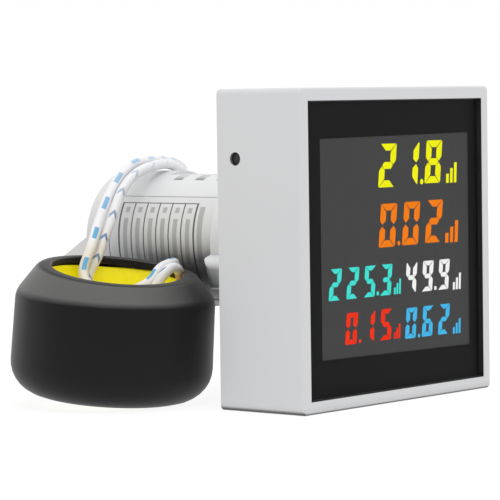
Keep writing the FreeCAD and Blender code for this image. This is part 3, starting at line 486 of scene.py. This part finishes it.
# %% Finish the display's layers
film_tint = grained("film_tint", (0.50, 0.42, 0.20), (0.30, 0.38, 0.42), 0.4, tone_size=80)
guide_milk = grained("guide_milk", (0.78, 0.80, 0.80), (0.74, 0.76, 0.76), 0.3)
lamp_pale = grained("lamp_pale", (0.85, 0.85, 0.70), (0.80, 0.80, 0.60), 0.3)
lcd_charcoal = grained("lcd_charcoal", (0.020, 0.020, 0.021), (0.017, 0.017, 0.018), 0.5,
                       bump=0.0, tone_size=30)
glow(lcd_charcoal, (1.0, 1.0, 1.0), 0.018)
window_gloss = grained("window_gloss", (0.01, 0.01, 0.011), (0.01, 0.01, 0.011), 0.12,
                       spread=0.06, grain_size=900, tone_size=40, bump=0.0, specular=0.05)
principled(window_gloss).inputs["Alpha"].default_value = 0.12
wear_finish(film_tint, "colour_film")
wear_finish(guide_milk, "light_guide")
wear_finish(lamp_pale, "backlight_lamps")
wear_finish(lcd_charcoal, "lcd_panel")
wear_finish(window_gloss, "display_window")
print("display layers done")

# %% [markdown]
# ## The printed border
# The window's back is printed black round a rectangle that is left clear. The border is made
# from one flat square: it is inset once, the inner edge is moved to the clear rectangle, the
# middle is removed, and the frame that is left gets a little thickness.

# %% Make the border
window_high = Vector(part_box("display_window")[1])
panel_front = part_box("lcd_panel")[0][1]
clear_left, clear_right = -18.4 * mm, 19.45 * mm
clear_low = {clear_left: -16.3 * mm, clear_right: -16.75 * mm}
clear_high = {clear_left: 16.45 * mm, clear_right: 16.75 * mm}
border_margin, border_gap = 0.1 * mm, 0.03 * mm
print_thick = 0.02 * mm


def new_piece(name, shape, finish, smooth=False):
    """Ends a bmesh as a piece that rides on the meter's own body."""
    for face in shape.faces:
        face.smooth = smooth
    piece = shape_into_scene(name, shape)
    piece.data.materials.append(finish)
    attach(piece, "meter")
    return piece


def raise_sheet(shape, thickness):
    """Turns flat faces that look to -Y into thin slabs."""
    grown = bmesh.ops.extrude_face_region(shape, geom=list(shape.faces))
    corners = [part for part in grown["geom"] if isinstance(part, bmesh.types.BMVert)]
    bmesh.ops.translate(shape, verts=corners, vec=(0, -thickness, 0))
    bmesh.ops.recalc_face_normals(shape, faces=shape.faces)


border_black = grained("border_black", (0.0026, 0.0026, 0.0028), (0.0020, 0.0020, 0.0022),
                       0.5, bump=0.0, specular=0.1)
border = bmesh.new()
bmesh.ops.create_grid(border, x_segments=1, y_segments=1, size=1.0)
bmesh.ops.scale(border, verts=border.verts,
                vec=(window_high.x - border_margin, window_high.z - border_margin, 1))
bmesh.ops.inset_region(border, faces=list(border.faces), thickness=3.0 * mm,
                       use_boundary=True)
middle = min(border.faces, key=lambda face: face.calc_center_median().length)
for corner in middle.verts:
    side = clear_right if corner.co.x > 0 else clear_left
    corner.co.x, corner.co.y = side, (clear_high if corner.co.y > 0 else clear_low)[side]
bmesh.ops.delete(border, geom=[middle], context="FACES_ONLY")
bmesh.ops.rotate(border, verts=border.verts, cent=(0, 0, 0),
                 matrix=Matrix.Rotation(math.pi / 2, 3, "X"))
bmesh.ops.translate(border, verts=border.verts, vec=(0, window_high.y - border_gap, 0))
raise_sheet(border, print_thick)
new_piece("window_border", border, border_black)
print("border", round(clear_right / mm - clear_left / mm, 1), "mm clear across")

# %% [markdown]
# ## The lit figures
# A segment display draws a number with up to seven bars, which are cut at slants where they
# meet, so that thin dark gaps part them. The bars are named a to g, as makers of displays do,
# clockwise from the top, with g in the middle. A cell is given by its width, its height and the
# thickness of its upright and level bars, in millimetres, and the slants by shares of these.

# %% Draw the segments
bars_lit = {
    "0": "abcdef", "1": "bc", "2": "abged", "3": "abgcd", "4": "fgbc",
    "5": "afgcd", "6": "afgedc", "8": "abcdefg", "9": "abfgcd",
}
cell_lean = 0.115
segment_gap = 0.17
figure_gap = 0.012 * mm


def segment_corners(bar, size):
    """The corners of one of the seven bars in a cell whose lowest left corner is 0, 0."""
    width, height, upright, level = size
    gap = segment_gap * upright
    middle = height / 2
    side = [(width - 0.12 * upright, height - 0.35 * gap), (width, height - 0.9 * gap),
            (width, middle + 0.75 * level), (width - 0.42 * upright, middle + 0.6 * gap),
            (width - upright, middle + level / 2 + 0.75 * gap),
            (width - upright, height - level - gap)]
    top = [(gap * 0.6, height), (width - gap * 0.9, height),
           (width - upright - 0.2 * gap, height - level), (upright + 0.2 * gap, height - level)]
    left, right = 0.42 * upright + gap * 0.6, width - (0.42 * upright + gap * 0.6)
    centre = [(left, middle), (left + 0.45 * level, middle + level / 2),
              (right - 0.45 * level, middle + level / 2), (right, middle),
              (right - 0.45 * level, middle - level / 2),
              (left + 0.45 * level, middle - level / 2)]
    corners = {"a": top, "d": top, "g": centre}.get(bar, side)
    if bar in "ef":
        corners = [(width - x, z) for x, z in corners]
    if bar in "cde":
        corners = [(x, height - z) for x, z in corners]
    return corners


def add_patch(shape, corners, left, low, lean):
    """Adds one flat face on the display from corners in millimetres."""
    verts = [shape.verts.new(((left + x + lean * z) * mm, 0.0, (low + z) * mm))
             for x, z in corners]
    shape.faces.new(verts)


print("bars in an eight", len(bars_lit["8"]))

# %% [markdown]
# A row of figures is written from left to right, and each cell leans a little. It has one round
# dot. What stood for the units is a plain mark of three rising bars, so that the display holds
# numbers only. Each row is one piece, and its light wavers a little, as that of a real panel.

# %% Make the helpers for a lit number


def add_dot(shape, x, z, radius):
    """Adds a round face on the display."""
    turn = Matrix.Translation((x * mm, 0, z * mm)) @ Matrix.Rotation(math.pi / 2, 4, "X")
    bmesh.ops.create_circle(shape, cap_ends=True, segments=14, radius=radius * mm, matrix=turn)


def add_rising_bars(shape, left, right, low, high):
    """A generic mark in a unit's place: three bars, each taller than the one before."""
    step = (right - left) / 3
    for index, share in enumerate((0.45, 0.72, 1.0)):
        top = (high - low) * share
        bar = [(0, 0), (step * 0.66, 0), (step * 0.66, top), (0, top)]
        add_patch(shape, bar, left + step * index, low, cell_lean / 2)


def lit_colour(name, colour):
    """A glowing finish over near black, whose strength wavers a little from place to place."""
    finish = grained(name + "_light", (0.01, 0.01, 0.01), (0.01, 0.01, 0.01), 0.5, bump=0.0,
                     specular=0.0)
    tree = finish.node_tree
    patches = noise_in(tree, object_place(tree), 700.0, 2.0)
    dim, bright = (tuple(share * part for part in colour) for share in (0.93, 1.07))
    glow(finish, colour_mix(tree, patches, dim, bright), 1.0)
    return finish


def lit_row(name, colour, figures, size, low, dot, mark, climb=0.0):
    """One lit number: its figures with their left edges, its dot and its unit's mark."""
    row = bmesh.new()
    first_left = figures[0][1]
    for figure, left in figures:
        for bar in bars_lit[figure]:
            foot = low + climb * (left - first_left)
            add_patch(row, segment_corners(bar, size), left, foot, cell_lean)
    add_dot(row, *dot)
    add_rising_bars(row, *mark)
    bmesh.ops.translate(row, verts=row.verts, vec=(0, panel_front - figure_gap, 0))
    raise_sheet(row, print_thick)
    new_piece(name, row, lit_colour(name, colour))


print("figures known", "".join(bars_lit))

# %% [markdown]
# The six numbers stand in four rows: two large ones with a row each, and four small ones in
# pairs. The large rows climb a little to the right, as they do in the photograph.

# %% Light the six numbers
large = (4.1, 6.6, 1.40, 1.05)
small = (2.75, 4.7, 1.0, 0.72)
lit_row("figures_yellow", (1.12, 1.12, 0.0), [("2", -4.15), ("1", 1.75), ("8", 7.75)], large,
        low=8.80, dot=(7.05, 9.35, 0.42), mark=(13.5, 16.6, 8.95, 12.1), climb=0.022)
lit_row("figures_orange", (1.12, 0.26, 0.002), [("0", -4.2), ("0", 1.75), ("2", 7.75)], large,
        low=-0.30, dot=(0.95, 0.15, 0.36), mark=(13.1, 16.9, -0.40, 3.0), climb=0.01)
lit_row("figures_turquoise", (0.065, 0.96, 0.84),
        [("2", -16.65), ("2", -12.36), ("5", -8.12), ("3", -4.05)], small,
        low=-7.6, dot=(-4.55, -7.2, 0.32), mark=(-0.47, 1.48, -7.6, -5.3))
lit_row("figures_white", (1.12, 1.12, 1.12), [("4", 2.4), ("9", 6.7), ("9", 11.0)], small,
        low=-7.65, dot=(10.35, -7.3, 0.32), mark=(15.04, 17.4, -7.85, -5.3))
lit_row("figures_red", (1.12, 0.035, 0.003), [("0", -12.8), ("1", -8.5), ("5", -4.18)], small,
        low=-14.4, dot=(-9.15, -14.1, 0.3), mark=(-0.6, 1.2, -14.4, -12.2))
lit_row("figures_blue", (0.07, 0.60, 1.03), [("0", 2.25), ("6", 6.6), ("2", 10.9)], small,
        low=-14.65, dot=(5.9, -14.4, 0.3), mark=(14.91, 17.2, -14.8, -12.5))
print("six lit numbers")

# %% [markdown]
# ## The sheet round the barrel
# A ruled paper sheet is stuck round the barrel's left side. Its rulings are lines at even
# distances along the barrel, closed by one line along the top. The places between the rulings
# hold plain grey bars, long and short, where a real sheet has its words and values, and one more
# bar stands beside them. Everything is drawn by the material from the distance along the barrel
# and the angle round it. Small helpers tell where such a value lies.

# %% Make helpers that tell where a value lies


def split(tree, vector):
    """The X, Y and Z of a vector."""
    node = tree.nodes.new("ShaderNodeSeparateXYZ")
    tree.links.new(vector, node.inputs["Vector"])
    return node.outputs["X"], node.outputs["Y"], node.outputs["Z"]


def between(tree, given, low, high):
    """One where a value lies between two numbers, nothing elsewhere."""
    above = math_node(tree, "GREATER_THAN", given, low)
    below = math_node(tree, "LESS_THAN", given, high)
    return math_node(tree, "MULTIPLY", above, below)


def ramp_between(tree, given, low, high):
    """Grows from nothing at one value to one at another."""
    node = tree.nodes.new("ShaderNodeMapRange")
    for label, value in (("Value", given), ("From Min", low), ("From Max", high)):
        feed(tree, value, node.inputs[label])
    return node.outputs["Result"]


def off_whole(tree, given):
    """How far a value lies from the nearest whole number, to either side."""
    whole = math_node(tree, "ROUND", given)
    return math_node(tree, "ABSOLUTE", math_node(tree, "SUBTRACT", given, whole))


def degrees_from(tree, side, ahead):
    """The angle in degrees of a place, from ahead towards the side."""
    angle = math_node(tree, "ARCTAN2", side, ahead)
    return math_node(tree, "MULTIPLY", angle, 180.0 / math.pi)


ruling_pitch, first_ruling = 2.62, 16.19
print("rulings at", [round(first_ruling + step * ruling_pitch, 1) for step in range(7)], "mm")

# %% [markdown]
# The group turns a place into a column, counted in rulings, and degrees up from the level, and
# compares them with the edges of each line and bar. The rulings lean a little on the upper side.

# %% Build the group for the rulings
table_start, table_end = -0.08, 6.08
bar_start, bar_end = 0.33, 0.67
side_start, side_end = -0.66, -0.26
top_angle = 34.0
lean_per_degree = -0.0125
sheet_group, sheet_in, sheet_out = group_with("sheet_print", ["Line width"], ["Lines", "Bars"])
sheet_math = partial(math_node, sheet_group)
sheet_between = partial(between, sheet_group)
x, y, z = split(sheet_group, sheet_in["Place"])
along_mm = sheet_math("MULTIPLY", y, 1000.0)
degrees = degrees_from(sheet_group, z, sheet_math("MULTIPLY", x, -1.0))
from_first = sheet_math("SUBTRACT", along_mm, first_ruling)
lean = sheet_math("MULTIPLY", sheet_math("MAXIMUM", degrees, 0.0), lean_per_degree)


def below_top(far, near):
    """One between two angles, in degrees below the table's top."""
    return sheet_between(degrees, top_angle - far, top_angle - near)


columns = sheet_math("DIVIDE", sheet_math("ADD", from_first, lean), ruling_pitch)
half_line = sheet_math("DIVIDE", sheet_in["Line width"], 2 * ruling_pitch)
from_middle = sheet_math("ABSOLUTE", sheet_math("SUBTRACT", columns, 3.0))
outer = sheet_math("GREATER_THAN", from_middle, 2.5)
line_reach = sheet_math("MULTIPLY", half_line, sheet_math("MULTIPLY_ADD", outer, 0.5, 1.0))
on_line = sheet_math("LESS_THAN", off_whole(sheet_group, columns), line_reach)
in_columns = sheet_between(columns, table_start, table_end)
in_table = sheet_math("MULTIPLY", in_columns, sheet_math("LESS_THAN", degrees, top_angle))
top_line = sheet_math("MULTIPLY", in_columns, below_top(0.5, -0.4))
lines = sheet_math("MAXIMUM", sheet_math("MULTIPLY", on_line, in_table), top_line)
in_row = sheet_between(sheet_math("FRACT", columns), bar_start, bar_end)
short_bar, long_bar, side_bar = below_top(9.0, 4.0), below_top(52.0, 14.0), below_top(50.0, 3.0)
bars = sheet_math("MULTIPLY", sheet_math("MAXIMUM", short_bar, long_bar), in_row)
beside_table = sheet_math("MULTIPLY", sheet_between(columns, side_start, side_end), side_bar)
bars = sheet_math("MAXIMUM", sheet_math("MULTIPLY", bars, in_table), beside_table)
sheet_group.links.new(lines, sheet_out["Lines"])
sheet_group.links.new(bars, sheet_out["Bars"])
print("ruling group", len(sheet_group.nodes), "nodes")

# %% [markdown]
# The sheet itself is white paper with a soft gloss. The rulings are near black and thin, the
# two outer ones a little thicker, and the bars are paler, as worn print.

# %% Finish the sheet


def tinted_over(finish, mask, colour, share=1.0):
    """Lays one more colour over a finish where a mask is one."""
    tree, base = finish.node_tree, principled(finish).inputs["Base Color"]
    factor = math_node(tree, "MULTIPLY", mask, share)
    tree.links.new(colour_mix(tree, factor, base.links[0].from_socket, colour), base)


sheet_paper = grained("sheet_paper", (0.67, 0.675, 0.68), (0.64, 0.645, 0.65), 0.42,
                      grain_size=1500, tone_size=120, bump=0.04)
sheet_print = put_group(sheet_paper.node_tree, sheet_group, object_place(sheet_paper.node_tree),
                        {"Line width": 0.24})
tinted_over(sheet_paper, sheet_print.outputs["Bars"], (0.10, 0.10, 0.10), 0.45)
tinted_over(sheet_paper, sheet_print.outputs["Lines"], (0.03, 0.03, 0.03), 0.9)
wear_finish(sheet_paper, "rating_label")
print("sheet done")

# %% [markdown]
# ## Shade in the gaps
# A studio that is white all round fills every gap with light. In the photograph the barrel is
# nearly black where it comes close to the ring and the nut, and so are the hole in the head's
# side and the foot of the ring. An occlusion node tells how much of a place is closed in within
# some distance, and a finish is tinted dark by it. On the barrel, its sheet and the nut the
# tint starts below a given height, because their upper sides lie in full light.

# %% Darken what is closed in
gap_group, gap_in, gap_out = group_with(
    "gap_shade", ["Distance", "Open from", "Closed at", "Nothing above", "Full below"], ["Mask"])
openness = gap_group.nodes.new("ShaderNodeAmbientOcclusion")
openness.samples = 8
gap_group.links.new(gap_in["Distance"], openness.inputs["Distance"])
closed = ramp_between(gap_group, openness.outputs["AO"], gap_in["Open from"],
                      gap_in["Closed at"])
x, y, z = split(gap_group, gap_in["Place"])
low_down = ramp_between(gap_group, z, gap_in["Nothing above"], gap_in["Full below"])
gap_group.links.new(math_node(gap_group, "MULTIPLY", closed, low_down), gap_out["Mask"])


def darken_gaps(finish, distance, open_from, closed_at, share, heights=(30.0, 26.0)):
    """Tints a finish dark where little is open round a place, fully below the second height."""
    tree = finish.node_tree
    use = put_group(tree, gap_group, object_place(tree),
                    {"Distance": distance * mm, "Open from": open_from, "Closed at": closed_at,
                     "Nothing above": heights[0] * mm, "Full below": heights[1] * mm})
    tinted_over(finish, use.outputs["Mask"], (0.010, 0.010, 0.011), share)


low_sides = (4.0, -2.0)
for finish in (barrel_white, sheet_paper):
    darken_gaps(finish, 16, open_from=0.80, closed_at=0.30, share=0.95, heights=low_sides)
darken_gaps(nut_white, 8, open_from=0.75, closed_at=0.25, share=0.7, heights=low_sides)
darken_gaps(housing_white, 3, open_from=0.62, closed_at=0.30, share=0.97)
print("gaps shaded")

# %% [markdown]
# ## The ends of the thread's grooves
# The thread's grooves run out on the barrel's upper left. Their ends are as deep in shade as the
# grooves are, and are tinted here a little further down than the solid's grooves reach. The
# tint fades in and out by the angle from the top, and lies in three of the grooves.

# %% Shade the groove ends
groove_pitch, groove_place = 4.5, 15.3
groove_sides, three_grooves = (0.24, 0.17), (-0.4, 2.4)
fades_in, fades_out = (20.0, 26.5), (28.6, 27.8)
barrel_tree = barrel_white.node_tree
barrel_math = partial(math_node, barrel_tree)
barrel_ramp = partial(ramp_between, barrel_tree)
x, y, z = split(barrel_tree, object_place(barrel_tree))
from_top = degrees_from(barrel_tree, barrel_math("MULTIPLY", x, -1.0), z)
along_pitch = barrel_math("MULTIPLY_ADD", y, 1000.0 / groove_pitch,
                          -groove_place / groove_pitch)
in_groove = barrel_ramp(off_whole(barrel_tree, along_pitch), *groove_sides)
in_run = between(barrel_tree, along_pitch, *three_grooves)
in_end = barrel_math("MULTIPLY", barrel_ramp(from_top, *fades_in),
                     barrel_ramp(from_top, *fades_out))
end_mask = barrel_math("MULTIPLY", barrel_math("MULTIPLY", in_groove, in_run), in_end)
tinted_over(barrel_white, end_mask, (0.07, 0.07, 0.07), 0.8)
print("groove ends shaded")

# %% [markdown]
# ## Print on the leads
# Both leads are white with a row of small blue marks along one side: short dashes on one, small
# arrow heads on the other. A mark is drawn where the UV map's u is near a whole number and its v
# near the printed side. An arrow head is a dash that is folded by the distance from the middle
# of that side.

# %% Build the group for the marks
marks, marks_in, marks_out = group_with(
    "lead_marks", ["Length", "Half width", "Fold"], ["Mask", "Number"])
marks_math = partial(math_node, marks)
x, y, z = split(marks, marks_in["Place"])
from_mark = marks_math("SUBTRACT", x, marks_math("ROUND", x))
from_side = off_whole(marks, y)
folded = marks_math("MULTIPLY", from_side, marks_in["Fold"])
bent = marks_math("ABSOLUTE", marks_math("SUBTRACT", from_mark, folded))
half_length = marks_math("MULTIPLY", marks_in["Length"], 0.5)
near = marks_math("LESS_THAN", bent, half_length)
beside = marks_math("LESS_THAN", from_side, marks_in["Half width"])
marks.links.new(marks_math("MULTIPLY", near, beside), marks_out["Mask"])
marks.links.new(x, marks_out["Number"])
print("mark group", len(marks.nodes), "nodes")

# %% [markdown]
# The ink gets fainter towards the leads' hidden start. Near the ring's mouth the white is tinted
# tan, and the very end is brown. All of these places are given as numbers of marks.

# %% Finish the leads


def printed_lead(name, ink, mark, faintest, tan, brown):
    """White insulation with marks, tinted tan between two numbers and brown past a third."""
    finish = grained(name, (0.80, 0.80, 0.82), (0.74, 0.74, 0.76), 0.42, grain_size=1800,
                     tone_size=140, bump=0.06)
    tree, shader = finish.node_tree, principled(finish)
    map_node = tree.nodes.new("ShaderNodeUVMap")
    map_node.uv_map = "UVMap"
    use = put_group(tree, marks, map_node.outputs["UV"], mark)
    ramp = partial(ramp_between, tree, use.outputs["Number"])
    tan_mask = math_node(tree, "SUBTRACT", ramp(tan[0] - 0.4, tan[0] + 0.4),
                         ramp(tan[1] - 0.5, tan[1] + 0.5))
    tinted_over(finish, tan_mask, (0.66, 0.56, 0.36), 0.45)
    tinted_over(finish, ramp(brown - 0.25, brown + 0.1), (0.42, 0.24, 0.06), 0.9)
    fresh = math_node(tree, "MULTIPLY_ADD", ramp(1.5, 6.0), 0.95 - faintest, faintest)
    tinted_over(finish, math_node(tree, "MULTIPLY", use.outputs["Mask"], fresh), ink)
    shader.inputs["Subsurface Weight"].default_value = 0.15
    shader.inputs["Subsurface Radius"].default_value = (0.6 * mm, 0.6 * mm, 0.6 * mm)
    shader.inputs["Subsurface Scale"].default_value = 1.0
    return finish


dash = {"Length": 0.42, "Half width": 0.075, "Fold": 0.0}
arrow_head = {"Length": 0.17, "Half width": 0.13, "Fold": 1.7}
lead_a.data.materials.append(printed_lead("lead_print_dashes", (0.06, 0.34, 0.62), dash,
                                          faintest=0.38, tan=(6.3, 9.4), brown=11.35))
lead_b.data.materials.append(printed_lead("lead_print_arrows", (0.10, 0.20, 0.40), arrow_head,
                                          faintest=0.12, tan=(6.2, 11.0), brown=12.95))
print("leads printed")

# %% [markdown]
# ## The ring's axis
# The ring's parts are all round about one leaning axis. Its middle is the middle of the core's box,
# which is even about it. Each part is made upright about Z with a profile that is spun, and is then
# put on the axis. A profile's corners are rounded first, as moulded and shrunk forms have no sharp
# ones.

# %% Find the ring's place
ring_lean = math.radians(5.6)
core_low, core_high = (Vector(corner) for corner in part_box("ct_core"))
ring_centre = (core_low + core_high) / 2
ring_place = Matrix.Translation(ring_centre) @ Matrix.Rotation(ring_lean, 4, "X")
sleeve_radius, sleeve_half = 15.7 * mm, 9.9 * mm
mouth_radius, bore_radius = 10.4 * mm, 9.6 * mm
print("ring centre", [round(part / mm, 2) for part in ring_centre], "mm")


def spun(profile, steps):
    """Spins a closed run of (radius, height) points about Z into a closed ring."""
    shape = bmesh.new()
    corners = [shape.verts.new((radius, 0.0, height)) for radius, height in profile]
    for index, corner in enumerate(corners):
        shape.edges.new((corner, corners[(index + 1) % len(corners)]))
    bmesh.ops.spin(shape, geom=shape.verts[:] + shape.edges[:], cent=(0, 0, 0), axis=(0, 0, 1),
                   angle=2 * math.pi, steps=steps, use_merge=True)
    bmesh.ops.remove_doubles(shape, verts=shape.verts, dist=0.001 * mm)
    bmesh.ops.recalc_face_normals(shape, faces=shape.faces)
    return shape


def rounded(profile, radii, segments=6):
    """Replaces corners of a closed profile by arcs, in the same plane."""
    points = []
    count = len(profile)
    for index, (corner, radius) in enumerate(zip(profile, radii)):
        here = Vector((*corner, 0))
        if radius == 0:
            points.append(corner)
            continue
        back = (Vector((*profile[index - 1], 0)) - here).normalized()
        on = (Vector((*profile[(index + 1) % count], 0)) - here).normalized()
        half = back.angle(on) / 2
        centre = here + (back + on).normalized() * radius / math.sin(half)
        start = here + back * radius / math.tan(half) - centre
        end = here + on * radius / math.tan(half) - centre
        turn = start.angle(end)
        axis = start.cross(end).normalized()
        for step in range(segments + 1):
            point = centre + Matrix.Rotation(turn * step / segments, 3, axis) @ start
            points.append((point.x, point.y))
    return points


# %% [markdown]
# ## The rubber sleeve
# The sleeve is soft rubber, shrunk over the wound core. It narrows a little upwards, slopes in over
# a shoulder and ends in a cut lip round the mouth. The shoulder is painted lighter where it slopes
# upwards, which is given by its slope: a painted highlight that stands for the light from above.
# Painted shade darkens the rubber where little is open round it. The rubber itself is nearly black,
# and a weak sheen lifts its edges.

# %% Finish the rubber and draw its profile
rubber = grained("sleeve_rubber", (0.0080, 0.0080, 0.0083), (0.0052, 0.0052, 0.0055), 0.52,
                 spread=0.1, grain_size=1300, tone_size=90, bump=0.10, specular=0.12)
rubber_tree = rubber.node_tree
surface = rubber_tree.nodes.new("ShaderNodeNewGeometry")
x, y, z = split(rubber_tree, surface.outputs["Normal"])
rising, level = (ramp_between(rubber_tree, z, *span) for span in ((0.26, 0.60), (0.78, 0.92)))
# Painted highlight: the sloping part of the shoulder, not its flat top, is tinted pale as if lit
# from above.
painted_shoulder_light = math_node(rubber_tree, "SUBTRACT", rising, level, limit=True)
tinted_over(rubber, painted_shoulder_light, (0.105, 0.105, 0.103))
darken_gaps(rubber, 16, open_from=0.93, closed_at=0.50, share=0.85)
principled(rubber).inputs["Sheen Weight"].default_value = 0.16
principled(rubber).inputs["Sheen Roughness"].default_value = 0.4

lip_drop, lip_inner, wall = 1.2 * mm, 10.08 * mm, 1.2 * mm
shoulder_start, shoulder_drop, sleeve_taper = 12.1 * mm, 4.1 * mm, 0.35 * mm
shoulder_round, flank_round, low_round = 1.8 * mm, 3.2 * mm, 5.0 * mm
flank_top = sleeve_half - shoulder_drop
sleeve_profile = rounded(
    [(lip_inner, sleeve_half), (shoulder_start, sleeve_half),
     (sleeve_radius - sleeve_taper, flank_top), (sleeve_radius, -sleeve_half),
     (mouth_radius, -sleeve_half), (mouth_radius, -sleeve_half + wall),
     (sleeve_radius - wall, -sleeve_half + wall),
     (sleeve_radius - sleeve_taper - wall, flank_top - 0.6 * mm),
     (shoulder_start - 0.5 * mm, sleeve_half - wall),
     (mouth_radius + 0.3 * mm, sleeve_half - wall),
     (mouth_radius, sleeve_half - lip_drop), (lip_inner, sleeve_half - lip_drop)],
    [0.4 * mm, shoulder_round, flank_round, low_round, 0.35 * mm, 0, low_round - wall,
     flank_round - wall, shoulder_round - wall, 0, 0, 0.1 * mm], segments=8)
print("sleeve profile", len(sleeve_profile), "points")

# %% [markdown]
# The mouth isn't flat: it sags towards the near side and rises to the far left. The lip isn't
# even either, and hangs lower on the right than on the left. So the spun form is moved in three
# steps: the lip's lower edge by a slow wave, the whole skin by a slight unevenness, as rubber
# over windings has, and the mouth by its bend.

# %% Make the sleeve
away = Vector((math.sin(turn_right), math.cos(turn_right), 0.0))
to_left = Vector((-math.cos(turn_right), math.sin(turn_right), 0.0))
near_sag, far_rise, left_rise = 1.0, 0.35, 0.35
bend_from, bend_over = 15.2 * mm, 3.6 * mm
bend_depth, bend_fade = 5.0 * mm, 3.0 * mm
lip_waves = ((7, 1.0, 0.10), (13, 0.0, 0.05))
skin_lumps = ((7 * mm, 0.10), (2.2 * mm, 0.02))
lip_within, lip_below = mouth_radius + 0.05 * mm, sleeve_half - 0.9 * mm
skin_beyond = mouth_radius + 1.0 * mm
lift_left, drop_right, drop_all = 0.8, 0.35, 0.05


def seen_from_camera(place):
    """A place's distance from the ring's axis, and how far it lies to the back and the left."""
    reach = max(math.hypot(place.x, place.y), 1e-6)
    far = (place.x * away.x + place.y * away.y) / reach
    left = (place.x * to_left.x + place.y * to_left.y) / reach
    return reach, far, left


def lip_hang(place):
    """How far the lip's lower edge is lifted, in millimetres: up at the left, down at the right."""
    left = seen_from_camera(place)[2]
    return (lift_left if left > 0 else drop_right) * left - drop_all


def mouth_bend(place):
    """How far the mouth's rim is lifted at a place: down on the near side, up at the far left."""
    reach, far, left = seen_from_camera(place)
    lift = near_sag * far if far < 0 else far_rise * far
    inwards = min(1.0, max(0.0, (bend_from - reach) / bend_over))
    upwards = min(1.0, max(0.0, (place.z - sleeve_half + bend_depth) / bend_fade))
    return (lift + left_rise * left) * mm * inwards * upwards


sleeve = spun(sleeve_profile, 128)
sleeve_lift = {vert: mouth_bend(vert.co) for vert in sleeve.verts}
for vert in sleeve.verts:
    way_round = math.atan2(vert.co.y, vert.co.x)
    reach = math.hypot(vert.co.x, vert.co.y)
    if reach < lip_within and 0 < vert.co.z < lip_below:
        wave = sum(size * math.sin(way_round * count + start) for count, start, size in lip_waves)
        vert.co.z += (wave + lip_hang(vert.co)) * mm
    if reach > skin_beyond:
        lump = sum(noise.noise(vert.co / width) * size for width, size in skin_lumps)
        outward = Vector((vert.co.x, vert.co.y, 0)).normalized()
        vert.co -= outward * abs(lump) * mm
    vert.co.z += sleeve_lift[vert]
bmesh.ops.transform(sleeve, matrix=ring_place, verts=sleeve.verts)
bmesh.ops.recalc_face_normals(sleeve, faces=sleeve.faces)
sleeve_piece = new_piece("ring_sleeve", sleeve, rubber, smooth=True)
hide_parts("ct_sleeve")
print("sleeve", len(sleeve_piece.data.polygons), "faces")

# %% [markdown]
# ## The yellow tape
# Tape is wound over the core in turns that each cover a part of the one before. The wrap is spun
# with many steps, and every few steps the surface climbs by the tape's thickness and drops back,
# which leaves the edge of each turn standing. A faint glow of its own is painted light: it keeps
# the yellow bright even down in the ring's shade.

# %% Make the tape
tape_yellow = grained("tape_yellow", (0.98, 0.90, 0.008), (0.92, 0.80, 0.004), 0.34,
                      spread=0.1, grain_size=1100, tone_size=160, bump=0.07, specular=0.25)
# Painted light: a faint yellow glow brightens the tape where it lies in shade.
glow(tape_yellow, (1.0, 0.90, 0.0), 0.05)
tape_turns = 26
tape_step = 0.09 * mm
turn_lean = 60 * mm
edge_depth, edge_follows = 1.2 * mm, 0.8
gap = 0.05 * mm
tape_top = sleeve_half - wall - gap
tape_outer = sleeve_radius - sleeve_taper - wall - gap
tape_profile = rounded(
    [(bore_radius, -tape_top), (bore_radius, 3.6 * mm), (mouth_radius - gap, tape_top),
     (shoulder_start - 0.8 * mm, tape_top), (tape_outer, flank_top - 0.8 * mm),
     (tape_outer, -tape_top)],
    [0.4 * mm, 3.0 * mm, 0.2 * mm, 1.0 * mm, 1.5 * mm, low_round - wall - gap])
tape = spun(tape_profile, tape_turns * 8)
tape_lift = {vert: min(0.0, mouth_bend(vert.co)) for vert in tape.verts}
for vert in tape.verts:
    way_round = math.atan2(vert.co.y, vert.co.x) / (2 * math.pi)
    climb = ((way_round + vert.co.z / turn_lean) * tape_turns) % 1.0
    reach = math.hypot(vert.co.x, vert.co.y)
    outward = Vector((vert.co.x, vert.co.y, 0)).normalized()
    if reach < (bore_radius + tape_outer) / 2:
        vert.co += outward * tape_step * climb
    if reach < mouth_radius and vert.co.z > tape_top - edge_depth:
        vert.co.z += max(0.0, lip_hang(vert.co)) * edge_follows * mm
    vert.co.z += tape_lift[vert]
bmesh.ops.transform(tape, matrix=ring_place, verts=tape.verts)
bmesh.ops.recalc_face_normals(tape, faces=tape.faces)
tape_piece = new_piece("ring_tape", tape, tape_yellow, smooth=True)
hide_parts("ct_tape_wrap")
print("tape", len(tape_piece.data.polygons), "faces")
